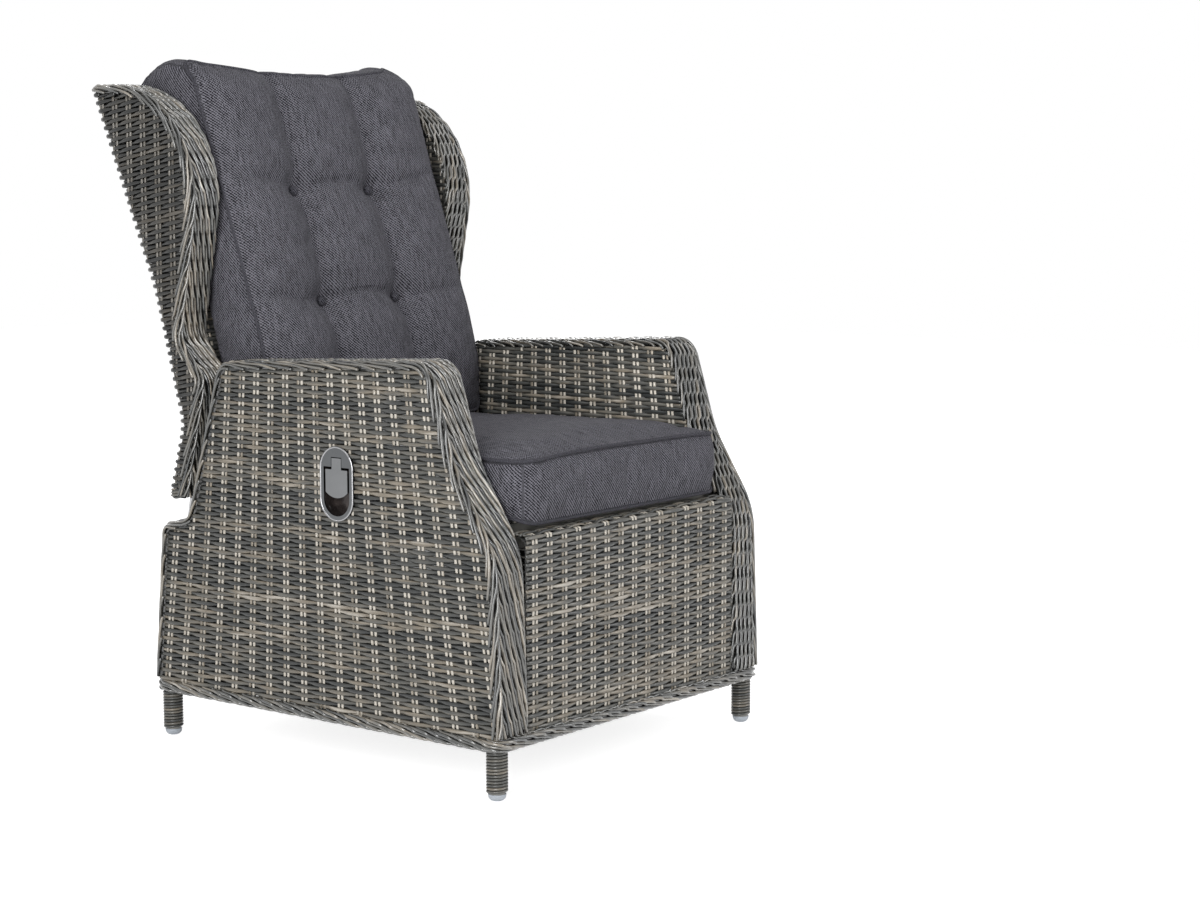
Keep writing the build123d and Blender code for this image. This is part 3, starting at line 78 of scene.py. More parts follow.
def rounded_line(corners, arc_points=12):
    """Straight runs between corners (across, up, radius), each corner cut by the arc that touches both
    runs: centre + radius * direction, the direction turning evenly from one touching point to the other."""
    places = np.array([c[:2] for c in corners], float)
    out = [places[:1]]
    for k in range(1, len(corners) - 1):
        r = corners[k][2]
        if r == 0:
            out.append(places[k:k + 1])
            continue
        back, on = unit(places[k - 1] - places[k]), unit(places[k + 1] - places[k])
        half = np.arccos(np.clip(back @ on, -1, 1)) / 2
        centre = places[k] + unit(back + on) * r / np.sin(half)
        start = places[k] + back * r / np.tan(half) - centre
        end = places[k] + on * r / np.tan(half) - centre
        share = np.linspace(0, 1, arc_points)[:, None]
        out.append(centre + unit(start * (1 - share) + end * share) * r)
    out.append(places[-1:])
    return np.concatenate(out) * mm


def run_along(line):
    """How far along a line each of its points lies: the running sum of the steps between them."""
    return np.r_[0, np.cumsum(np.linalg.norm(np.diff(line, axis=0), axis=1))]


def read_at(values, run, at):
    """Values given at each point of a run, read between the points."""
    return np.stack([np.interp(at, run, values[:, c]) for c in range(values.shape[1])], -1)


def even(line, step):
    """The same line with its points an even step apart, measured along it."""
    run = run_along(line)
    return read_at(line, run, np.linspace(0, run[-1], max(3, int(round(run[-1] / step)) + 1)))


def aside(line, distance):
    """Each point moved to the left of the line's own direction: point + distance * (-dz, dy)."""
    ahead = unit(np.gradient(line, axis=0))
    return line + distance * np.stack([-ahead[:, 1], ahead[:, 0]], -1)


def both_edges(corners, inset):
    """The rear and the front edge of a side panel as functions of height: the outline, moved in, is parted
    at its highest point, and each half is read as Y over Z."""
    line = aside(even(rounded_line(corners), 2 * mm), inset * mm)
    top = int(np.argmax(line[:, 1]))

    def read(half):
        half = half[np.argsort(half[:, 1], kind="stable")]
        return lambda z: np.interp(z, half[:, 1], half[:, 0])
    return read(line[top:][::-1]), read(line[:top + 1])


# ---------------------------------------------------------------- strands carried along lines

half_round = np.array([(1, 0), (0.66, 0.7), (0, 1), (-0.66, 0.7), (-1, 0), (0, -0.4)])
full_round = np.array([(1, 0), (0.5, 0.87), (-0.5, 0.87), (-1, 0), (-0.5, -0.87), (0.5, -0.87)])
flat_strip = np.array([(1, -0.5), (1, 0.5), (-1, 0.5), (-1, -0.5)])
cord_round = np.array([(1, 0), (0.8, 0.6), (0.3, 0.95), (-0.3, 0.95), (-0.8, 0.6), (-1, 0), (0, -0.6)])


def line_of(centre, outward, width, height, tone, profile=half_round, shade=1.0, across=None, start=0.0):
    """One strand: its centre line, the way it faces, its width and height in mm, its colour, and a shade
    factor of painted light or shade on that colour.
    """
    return dict(centre=centre, outward=outward, width=width, height=height, tone=tone, profile=profile,
                shade=shade, across=across, start=start)


def ring_faces(first, rings, around):
    """Quads that join each ring of points to the next, and the two faces that close the ends."""
    ring = np.arange(around)
    here = first + np.arange(rings - 1)[:, None] * around
    a, b = here + ring, here + (ring + 1) % around
    quads = np.stack([a, b, b + around, a + around], -1).reshape(-1, 4)
    return quads, [first + ring[::-1], first + (rings - 1) * around + ring]


def carry(lines):
    """Each profile is set square to its line at every point, place + across * x * width / 2
    + rise * z * height, with across = outward x along; rings are joined by quads and both ends closed."""
    points, quads, ends, strand, chart = [], [], {}, [], []
    first = 0
    for k, one in enumerate(lines):
        centre, profile = one["centre"], one["profile"]
        n, m = len(centre), len(profile)
        along = unit(np.gradient(centre, axis=0))
        square = unit(np.cross(one["outward"], along))
        if one["across"] is None:
            across, rise = square, np.cross(along, square)
        else:
            across = one["across"] * np.sign(np.sum(one["across"] * square, -1, keepdims=True))
            rise = one["outward"]
        half = np.broadcast_to(np.asarray(one["width"], float) / 2 * mm, n)[:, None, None]
        tall = np.broadcast_to(np.asarray(one["height"], float) * mm, n)[:, None, None]
        ring_points = centre[:, None] + across[:, None] * profile[None, :, :1] * half
        ring_points = ring_points + rise[:, None] * profile[None, :, 1:] * tall
        points.append(ring_points.reshape(-1, 3))
        run = run_along(centre) + one["start"]
        round_it = k * 0.37 + np.arange(m) / m
        chart.append(np.stack(np.broadcast_arrays(run[:, None], round_it), -1).reshape(-1, 2))
        # each point keeps its tone, a random value, the painted light or shade factor, and 1
        strand.append(np.tile([one["tone"], (k * 0.618) % 1, one["shade"], 1.0], (n * m, 1)))
        sides, closing = ring_faces(first, n, m)
        quads.append(sides)
        ends.setdefault(m, []).extend(closing)
        first += n * m
    faces = [np.concatenate(quads)] + [np.array(e) for e in ends.values()]
    return np.concatenate(points), faces, np.concatenate(strand), np.concatenate(chart)


def make_piece(name, points, faces, body, nodes, finish, strand=None, chart=None):
    """Worked-out points and faces put into one mesh, which rides on a body and stands for its nodes."""
    mesh = bpy.data.meshes.new(name)
    corners = np.concatenate([f.reshape(-1) for f in faces]).astype(np.int32)
    sizes = np.concatenate([np.full(len(f), f.shape[1]) for f in faces])
    mesh.vertices.add(len(points))
    mesh.vertices.foreach_set("co", np.asarray(points, np.float32).ravel())
    mesh.loops.add(len(corners))
    mesh.loops.foreach_set("vertex_index", corners)
    mesh.polygons.add(len(sizes))
    mesh.polygons.foreach_set("loop_start", (np.cumsum(sizes) - sizes).astype(np.int32))
    mesh.polygons.foreach_set("use_smooth", np.ones(len(sizes), bool))
    if strand is not None:
        layer = mesh.color_attributes.new("strand", "FLOAT_COLOR", "POINT")
        layer.data.foreach_set("color", np.asarray(strand, np.float32).ravel())
        layer = mesh.uv_layers.new(name="strand_map")
        layer.data.foreach_set("uv", np.asarray(chart[corners], np.float32).ravel())
    mesh.update(calc_edges=True)
    mesh.validate()
    piece = bpy.data.objects.new(name, mesh)
    bpy.context.scene.collection.objects.link(piece)
    mesh.materials.append(finish)
    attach(piece, body)
    if nodes:
        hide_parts(*nodes)
    return piece


def strands(name, lines, body, nodes, finish=None):
    """One piece of many strands."""
    points, faces, strand, chart = carry(lines)
    return make_piece(name, points, faces, body, nodes, finish or resin, strand, chart)


# ---------------------------------------------------------------- materials

def new_material(name, **values):
    """A material with plain values on its own shader; gives the material, its nodes and its links."""
    made = bpy.data.materials.new(name)
    made.use_nodes = True
    shader = made.node_tree.nodes["Principled BSDF"]
    for socket, value in values.items():
        shader.inputs[socket.replace("_", " ")].default_value = value
    return made, made.node_tree, shader


def node(tree, kind, **settings):
    """A node with its settings."""
    made = tree.nodes.new(kind)
    for key, value in settings.items():
        setattr(made, key, value)
    return made


def math_node(tree, operation, first, second):
    """One sum of two values, either of them an output or a number."""
    made = node(tree, "ShaderNodeMath", operation=operation)
    for k, value in enumerate((first, second)):
        if isinstance(value, (int, float)):
            made.inputs[k].default_value = value
        else:
            tree.links.new(value, made.inputs[k])
    return made.outputs[0]


def ramp(tree, source, stops):
    """Colours over 0 to 1."""
    made = tree.nodes.new("ShaderNodeValToRGB")
    tree.links.new(source, made.inputs[0])
    band = made.color_ramp
    while len(band.elements) < len(stops):
        band.elements.new(0.5)
    for element, (at, colour) in zip(band.elements, stops):
        element.position = at
        element.color = (*colour, 1)
    return made.outputs[0]


def scaled(tree, source, by):
    """Coordinates stretched by three factors."""
    made = tree.nodes.new("ShaderNodeMapping")
    made.inputs["Scale"].default_value = by
    tree.links.new(source, made.inputs[0])
    return made.outputs[0]


def noise(tree, source, scale, detail=2.0, rough=0.5):
    """A cloud of values about 0.5."""
    made = tree.nodes.new("ShaderNodeTexNoise")
    made.inputs["Scale"].default_value = scale
    made.inputs["Detail"].default_value = detail
    made.inputs["Roughness"].default_value = rough
    tree.links.new(source, made.inputs["Vector"])
    return made.outputs[0]


def bumped(tree, shader, height, strength, distance):
    """A height read as small relief."""
    made = tree.nodes.new("ShaderNodeBump")
    made.inputs["Strength"].default_value = strength
    made.inputs["Distance"].default_value = distance
    tree.links.new(height, made.inputs["Height"])
    tree.links.new(made.outputs[0], shader.inputs["Normal"])


def eased(tree, source, factor, base):
    """A value times a factor, added to a base."""
    return math_node(tree, "ADD", math_node(tree, "MULTIPLY", source, factor), base)


def times(tree, colour, factor):
    """A colour made lighter or darker by a value."""
    made = node(tree, "ShaderNodeVectorMath", operation="SCALE")
    tree.links.new(colour, made.inputs[0])
    tree.links.new(factor, made.inputs[3])
    return made.outputs[0]


def make_resin(name, rough, coat, gloss):
    """Extruded resin strand: a tone of its own, slow changes along it, fine grain lines and satin gloss, its
    colour scaled by the strand's painted light or shade factor.
    """
    made, tree, shader = new_material(name, Roughness=rough, Specular_IOR_Level=gloss, Coat_Weight=coat,
                                      Coat_Roughness=0.11)
    facts = node(tree, "ShaderNodeAttribute", attribute_name="strand")
    parts = node(tree, "ShaderNodeSeparateColor")
    tree.links.new(facts.outputs["Color"], parts.inputs[0])
    chart = node(tree, "ShaderNodeUVMap", uv_map="strand_map").outputs[0]
    slow = noise(tree, scaled(tree, chart, (9, 0.9, 1)), 1.0, 2.0)
    shift = math_node(tree, "MULTIPLY", math_node(tree, "SUBTRACT", slow, 0.5), 2.0)
    tone = math_node(tree, "ADD", parts.outputs[0], shift)
    colour = ramp(tree, tone, [(0.0, (0.027, 0.029, 0.029)), (0.28, (0.059, 0.060, 0.056)),
                               (0.52, (0.113, 0.107, 0.093)), (0.74, (0.188, 0.162, 0.126)),
                               (1.0, (0.400, 0.372, 0.325))])
    grain = noise(tree, scaled(tree, chart, (30, 26, 1)), 1.0, 2.0)
    # the grain's flecks times the strand's shade factor, which is painted light or shade
    grain_and_painted_light = math_node(tree, "MULTIPLY", eased(tree, grain, 0.7, 0.65), parts.outputs[2])
    tree.links.new(times(tree, colour, grain_and_painted_light), shader.inputs["Base Color"])
    tree.links.new(eased(tree, grain, 0.2, rough - 0.1), shader.inputs["Roughness"])
    bumped(tree, shader, grain, 0.3, 0.0004)
    return made


wave_scale = 0.628    # scale of a diagonal wave whose lines are 1 m apart


def make_fabric(name, dark, light, weave_depth, sheen):
    """Coarse twill laid on the cover's cloth map (along, up): ribs 5.2 mm apart along one diagonal, threads
    4 mm apart along the other. The colour goes from dark to light with relief + flecks - yarn streaks."""
    made, tree, shader = new_material(name, Roughness=0.92, Sheen_Weight=sheen, Sheen_Roughness=0.45,
                                      Specular_IOR_Level=0.2)
    place = node(tree, "ShaderNodeAttribute", attribute_name="cloth_map").outputs["Vector"]
    rib = node(tree, "ShaderNodeTexWave", bands_direction="DIAGONAL", wave_profile="SIN")
    rib.inputs["Scale"].default_value = wave_scale / 0.0052
    rib.inputs["Distortion"].default_value = 1.0
    rib.inputs["Detail"].default_value = 1.5
    rib.inputs["Detail Scale"].default_value = 2.0
    tree.links.new(place, rib.inputs["Vector"])
    cross = node(tree, "ShaderNodeTexWave", bands_direction="DIAGONAL", wave_profile="SIN")
    cross.inputs["Scale"].default_value = wave_scale / 0.0040
    cross.inputs["Distortion"].default_value = 2.0
    tree.links.new(scaled(tree, place, (1, -1, 1)), cross.inputs["Vector"])
    mottle = noise(tree, place, 400.0, 2.0, 0.8)
    slub = noise(tree, scaled(tree, place, (1, 0.16, 1)), 240.0, 2.0)
    cloud = noise(tree, place, 14.0, 2.0)
    relief = math_node(tree, "ADD", math_node(tree, "MULTIPLY", rib.outputs[1], 0.62),
                       math_node(tree, "MULTIPLY", cross.outputs[1], 0.38))
    mixed = math_node(tree, "ADD", math_node(tree, "MULTIPLY", relief, 0.95),
                      math_node(tree, "SUBTRACT", math_node(tree, "MULTIPLY", mottle, 1.3),
                                math_node(tree, "MULTIPLY", slub, 0.7)))
    colour = ramp(tree, mixed, [(0.59, dark), (0.95, light)])
    tree.links.new(times(tree, colour, eased(tree, cloud, 0.3, 0.85)), shader.inputs["Base Color"])
    bumped(tree, shader, relief, weave_depth, 0.0006)
    return made


def make_plain(name, colour, metallic, rough, spread, grain_scale, relief):
    """Metal, paint or plastic: one colour with faint clouding, small changes of gloss and a fine skin."""
    made, tree, shader = new_material(name, Metallic=metallic, Roughness=rough)
    place = node(tree, "ShaderNodeTexCoord").outputs["Object"]
    cloud = noise(tree, place, grain_scale, 3.0)
    low = tuple(c * (1 - spread) for c in colour)
    high = tuple(min(1, c * (1 + spread)) for c in colour)
    tree.links.new(ramp(tree, cloud, [(0.3, low), (0.7, high)]), shader.inputs["Base Color"])
    tree.links.new(eased(tree, cloud, 0.12, rough - 0.06), shader.inputs["Roughness"])
    bumped(tree, shader, noise(tree, place, grain_scale * 12, 2.0), relief, 0.0003)
    return made


flap_chrome = make_plain("satin_flap_chrome", (0.20, 0.205, 0.21), 1.0, 0.24, 0.05, 25, 0.03)
resin = make_resin("resin_strand", 0.27, 0.0, 0.5)
plait_resin = make_resin("resin_plait_strand", 0.18, 0.7, 0.8)
seat_fabric = make_fabric("charcoal_twill", (0.004, 0.004, 0.006), (0.154, 0.151, 0.175), 1.0, 0.02)
# darker than the cover's twill, painting the shade that lines the piped seams; the buttons share this cloth
piping_fabric_painted_shade = make_fabric("charcoal_piping", (0.005, 0.005, 0.008), (0.100, 0.098, 0.116), 0.5, 0.02)
powder_coat = make_plain("powder_coat_grey", (0.20, 0.195, 0.18), 0.0, 0.5, 0.08, 60, 0.25)
bright_steel = make_plain("zinc_plated_steel", (0.55, 0.55, 0.56), 1.0, 0.32, 0.10, 40, 0.1)
black_nylon = make_plain("black_nylon", (0.03, 0.03, 0.03), 0.0, 0.45, 0.15, 80, 0.2)
black_enamel = make_plain("black_enamel", (0.02, 0.02, 0.021), 0.0, 0.28, 0.15, 30, 0.1)
hard_chrome = make_plain("hard_chrome", (0.75, 0.75, 0.76), 1.0, 0.12, 0.03, 30, 0.02)
dark_chrome = make_plain("dark_nickel_chrome", (0.125, 0.13, 0.135), 1.0, 0.16, 0.05, 25, 0.03)
rim_chrome = make_plain("bright_rim_chrome", (0.34, 0.34, 0.35), 1.0, 0.12, 0.05, 25, 0.03)
cup_plastic = make_plain("moulded_dark_cup", (0.050, 0.042, 0.040), 0.7, 0.20, 0.35, 20, 0.1)
cable_black = make_plain("cable_sheath_black", (0.02, 0.02, 0.02), 0.0, 0.5, 0.1, 60, 0.1)
glide_grey = make_plain("glide_grey", (0.36, 0.39, 0.43), 0.0, 0.42, 0.05, 50, 0.12)

slot_finish = {
    "frame_aluminium": powder_coat, "hardware_steel": bright_steel, "bush_nylon": black_nylon,
    "cylinder_paint": black_enamel, "rod_chrome": hard_chrome, "handle_chrome": dark_chrome,
    "cup_plastic": cup_plastic, "cable_sheath": cable_black, "glide_plastic": glide_grey,
    "weave": powder_coat, "winding": powder_coat, "cushion_fabric": seat_fabric,
}
for row in frame["record"]["subparts"]:
    kept = bpy.data.objects.get(row["node"])
    if kept is not None and kept.type == "MESH":
        kept.data.materials.clear()
        finish = flap_chrome if row["node"] == "handle_flap" else slot_finish[row["material_slot"]]
        kept.data.materials.append(finish)


# ---------------------------------------------------------------- woven panels

def row_tones(count, seed):
    """A tone for each row, kept for one or two rows at a time, as strands are taken from mixed bundles."""
    pick = np.random.default_rng(seed)
    tones = pick.choice([0.12, 0.25, 0.38, 0.50, 0.61], size=count, p=[0.20, 0.24, 0.24, 0.20, 0.12])
    keep = pick.random(count) < 0.25
    tones[1:][keep[1:]] = tones[:-1][keep[1:]]
    return tones + pick.uniform(-0.05, 0.05, count)


def woven(surface, left, right, rows, column, pitch, seed, hole=None, width=strand_width, lift=2.2, parts=6,
          under=-2.2, shade=1.0, turn_at=None):
    """Plain weave over a surface (u, v). Row j rises by lift * tanh(1.5 cos(pi (k + j))) / tanh 1.5, where
    k = (u - column) / pitch(v) counts the stakes; stake k goes up at u = column + k pitch(v) as two
    strands. Where the rows turn an edge, near turn_at, they stand proud and lie low by turns. A thin dark
    sheet under the rows closes the view between them; its near black is painted shade. Shade scales the
    colour of every strand as painted light or shade."""
    crisp, shortest, turn_reach, stake_proud, beyond = 1.5, 6 * mm, 13 * mm, 0.2, 3 * mm
    pick = np.random.default_rng(seed)
    tones = row_tones(len(rows), seed)
    lines = []
    for j, v in enumerate(rows):
        low, high = float(left(v)), float(right(v))
        gap = hole(v) if hole else None
        spans = [(low, high)] if gap is None else [(low, gap[0]), (gap[1], high)]
        bend = pick.uniform(0.2, 0.5) * mm
        begin = pick.uniform(0, 6.3)
        for a, b in spans:
            if b - a < shortest:
                continue
            u = np.linspace(a, b, max(4, int((b - a) / (pitch(v) / parts)) + 2))
            wave = np.tanh(crisp * np.cos(np.pi * ((u - column) / pitch(v) + j))) / np.tanh(crisp)
            if turn_at is not None:
                near = np.exp(-((u - turn_at(v)) / turn_reach) ** 2)
                wave = wave * (1 - near) + (1.35 if j % 2 else -0.9) * near
            place, out = surface(u, v + bend * np.sin(u / 0.07 + begin))
            lines.append(line_of(place + out * (lift * mm * wave)[:, None], out, width * (0.92 + 0.08 * wave),
                                 strand_height, tones[j], shade=shade, start=pick.uniform(0, 5)))
    up = np.linspace(rows[0] - beyond, rows[-1] + beyond, max(6, int((rows[-1] - rows[0]) / (9 * mm))))
    lows, highs = left(up), right(up)
    counts = np.arange(np.floor((lows.min() - column) / top_pitch / mm) - 1,
                       np.ceil((highs.max() - column) / top_pitch / mm) + 2)
    for k in counts:
        for shift in (-stake_gap, stake_gap):
            u = column + k * pitch(up) + shift * mm
            inside = (u > lows + 2 * mm) & (u < highs - 2 * mm)
            if hole:
                gaps = [hole(v) for v in up]
                inside &= ~np.array([g is not None and g[0] < a < g[1] for g, a in zip(gaps, u)])
            edges = np.flatnonzero(np.diff(np.r_[0, inside.astype(int), 0]))
            for a, b in edges.reshape(-1, 2):
                if b - a < 3:
                    continue
                place, out = surface(u[a:b], up[a:b])
                # stakes take the lightest tones, and their shade factor of 1.25 paints them lighter still: a
                # painted highlight
                lines.append(line_of(place + out * stake_proud * mm, out, stake_width, stake_height,
                                     0.93 + 0.1 * pick.random(), full_round, 1.25 * shade,
                                     start=pick.uniform(0, 5)))
    sheet = np.unique(np.r_[rows[0] - beyond, rows[::3], rows[-1] + beyond])
    blocks = [(sheet, left, right)]
    if hole:
        spans = [v for v in sheet if hole(v)]
        low, high = min(spans), max(spans)
        mid = sheet[(sheet >= low) & (sheet <= high)]
        blocks = [(sheet[sheet <= low], left, right), (sheet[sheet >= high], left, right),
                  (mid, left, lambda v: np.array([hole(a)[0] for a in v])),
                  (mid, lambda v: np.array([hole(a)[1] for a in v]), right)]
    for heights, a, b in blocks:
        lo, hi = a(heights) + 0 * heights, b(heights) + 0 * heights
        if turn_at is not None:
            hi = np.minimum(hi, turn_at(heights) - 5 * mm)
        place, out = surface((lo + hi) / 2, heights)
        side = unit(surface((lo + hi) / 2 + mm, heights)[0] - place)
        # the sheet is nearly black (shade 0.15): painted shade where the gaps between rows show
        lines.append(line_of(place + out * under * mm, out, (hi - lo) / mm - 1, 0.4, 0.1, flat_strip,
                             0.15 * shade, across=side))
    return lines


def side_panel(x, facing):
    """A flat panel across X, (u, v) being (Y, Z)."""
    def surface(u, v):
        u, v = np.broadcast_arrays(u, v)
        return np.stack([np.full(u.shape, x * mm), u, v], -1), np.tile([facing, 0.0, 0.0], (*u.shape, 1))
    return surface


def fan(v):
    """The stakes' spacing: the top pitch at Z 620, growing evenly to the foot pitch 520 mm lower."""
    return (top_pitch + (620 - v / mm) / 520 * (foot_pitch - top_pitch)) * mm


def upright_at(x):
    """The same X at every height, for a panel's left or right edge."""
    return lambda v: x * mm + 0 * v


def steady(pitch):
    """The same spacing at every height."""
    return lambda v: pitch * mm + 0 * v


def handle_hole(v):
    """The opening under the handle's plate at a height: half width * (1 - |t| ** 3.2) ** (1 / 3.2) to each
    side, t being the share of the half height above or below its middle."""
    t = (v / mm - handle_z) / hole_half_high
    if abs(t) >= 1:
        return None
    half = hole_half_wide * (1 - abs(t) ** 3.2) ** (1 / 3.2) * mm
    return handle_y * mm - half, handle_y * mm + half


side_name = {-1: "right", 1: "left"}
arm_front, arm_rear = both_edges(arm_corners, 9.0)
arm_rows = np.arange(100, 641, row_pitch) * mm
arm_rows = arm_rows[arm_rear(arm_rows) - arm_front(arm_rows) > 20 * mm]
above_seat = arm_rows[arm_rows > deck_z * mm]
arm_stake = -35 * mm
for side in (-1, 1):
    strands(side_name[side] + "_arm_outer_strands",
            woven(side_panel(side * arm_outer_x, side), arm_front, arm_rear, arm_rows, arm_stake, fan,
                  11 + side, hole=handle_hole if side < 0 else None),
            "base", [side_name[side] + "_arm_outer_weave"])
    # the inner skins' strands are painted 1.6 times lighter: painted light lifting them out of the shade
    # between the arms
    strands(side_name[side] + "_arm_inner_strands",
            woven(side_panel(side * arm_inner_x, -side), arm_front, arm_rear, above_seat, arm_stake, fan,
                  21 + side, parts=4, shade=1.6),
            "base", [side_name[side] + "_arm_inner_weave"])


# ---------------------------------------------------------------- wings and back

back_line = even(rounded_line(back_line_corners), 2 * mm)
back_ahead = unit(np.gradient(back_line, axis=0))


def behind(z, depth):
    """Y at a height, at a depth in front of the back's rear line, and the Y and Z of the way it faces
    there, which is the line's own direction turned a quarter."""
    line = aside(back_line, depth * mm)
    y, ahead_y, ahead_z = (np.interp(z, line[:, 1], over) for over in (line[:, 0], *back_ahead.T))
    return y, ahead_z, -ahead_y


def rear_panel(depth, facing):
    """The curved back, (u, v) being (X, Z), on the rear line moved forward by a depth."""
    def surface(u, v):
        u, v = np.broadcast_arrays(u, v)
        y, ny, nz = behind(v, depth)
        return np.stack([u, y, v], -1), facing * np.stack([0 * u, ny, nz], -1)
    return surface


wing_front = both_edges(wing_corners, 5.0)[0]


def row_rise(v):
    """How much the wing's rows climb for each unit forward: nothing at the foot, 0.2 above."""
    return 0.2 * np.clip((v / mm - 430) / 160, 0, 1)


def wing_start(v):
    """Where a climbing row starts: at the wing's front edge, found in six steps, or under its top."""
    edge = behind(v, rear_depth)[0]
    u = wing_front(v)
    for _ in range(6):
        u = wing_front(v + row_rise(v) * (edge - u))
    return np.maximum(u, edge - (1066 * mm - v) / np.maximum(row_rise(v), 1e-3))


def wing_outside(side):
    """The wing's outer skin, (u, v) being the run from front to rear and the height at the rear edge; past
    the rear edge it turns round a quarter circle onto the back."""
    bend = wing_edge_turn * mm

    def surface(u, v):
        u, v = np.broadcast_arrays(u, v)
        edge = behind(v, rear_depth)[0] - bend
        v = v + row_rise(v) * np.clip(edge - u, 0, None)
        past = np.clip((u - edge) / bend, 0, np.pi / 2)
        on = np.clip(u - edge - bend * np.pi / 2, 0, None)
        y = np.minimum(u, edge) + bend * np.sin(past)
        x = wing_outer_x * mm - bend + bend * np.cos(past) - on
        return np.stack([side * x, y, v], -1), np.stack([side * np.cos(past), np.sin(past), 0 * past], -1)
    return surface


back_rows = np.arange(417, 1069, row_pitch) * mm
wing_stake = 250 * mm
for side in (-1, 1):
    # the outer wing strands are painted at 0.33 of their colour: painted shade on the wings' outer sides
    strands(side_name[side] + "_wing_outer_strands",
            woven(wing_outside(side), wing_start, lambda v: behind(v, rear_depth)[0] + 14 * mm, back_rows,
                  wing_stake, steady(33), 31 + side, shade=0.33,
                  turn_at=lambda v: behind(v, rear_depth)[0] - 1 * mm),
            "backrest", [side_name[side] + "_wing_outer_weave"])
    strands(side_name[side] + "_wing_inner_strands",
            woven(side_panel(side * wing_inner_x, -side), wing_front, lambda v: behind(v, 27.0)[0], back_rows,
                  wing_stake, steady(33), 41 + side, parts=4),
            "backrest", [side_name[side] + "_wing_inner_weave"])
strands("back_rear_strands",
        woven(rear_panel(rear_depth, 1), upright_at(-331), upright_at(331), back_rows, 0.0, steady(34), 51),
        "backrest", ["back_rear_weave"])
strands("back_front_strands",
        woven(rear_panel(front_depth, -1), upright_at(-281), upright_at(281), back_rows, 0.0, steady(34), 52,
              parts=4),
        "backrest", ["back_front_weave"])


# ---------------------------------------------------------------- aprons

def front_apron(u, v):
    """Upright plane Y = -431 that turns back over its top edge, (u, v) being (X, run up)."""
    u, v = np.broadcast_arrays(u, v)
    bend, edge = 6 * mm, 389 * mm
    past = np.clip((v - edge) / bend, 0, np.pi / 2)
    on = np.clip(v - edge - bend * np.pi / 2, 0, None)
    y = -425 * mm - bend * np.cos(past) + on
    z = np.minimum(v, edge) + bend * np.sin(past)
    return np.stack([u, y, z], -1), np.stack([0 * u, -np.cos(past), np.sin(past)], -1)


def rear_apron(u, v):
    """Sloping plane 8 mm in front of the line from (306, 97) to (283, 360), (u, v) being (X, Z)."""
    u, v = np.broadcast_arrays(u, v)
    y = (306 - 8) * mm - (v - 97.3 * mm) * (23 / 262.7)
    return np.stack([u, y, v], -1), np.tile([0, 0.9962, 0.0872], (*u.shape, 1))


wide_left, wide_right = upright_at(-apron_half_width), upright_at(apron_half_width)
strands("front_apron_strands",
        woven(front_apron, wide_left, wide_right, np.arange(99, 424, row_pitch) * mm, 0.0, steady(36), 61),
        "base", ["front_apron_weave"])
strands("rear_apron_strands",
        woven(rear_apron, wide_left, wide_right, np.arange(99, 347, row_pitch) * mm, 0.0, steady(36), 62),
        "base", ["rear_apron_weave"])


def deck(u, v):
    """Level seat platform, (u, v) being (X, Y)."""
    u, v = np.broadcast_arrays(u, v)
    return np.stack([u, v, np.full(u.shape, deck_z * mm)], -1), np.tile([0.0, 0.0, 1.0], (*u.shape, 1))


strands("seat_deck_strands",
        woven(deck, wide_left, wide_right, np.arange(-384, 194, row_pitch) * mm, 0.0, steady(40), 63, parts=3,
              lift=1.6, under=-1.0),
        "base", ["seat_deck"])


# ---------------------------------------------------------------- plaited borders

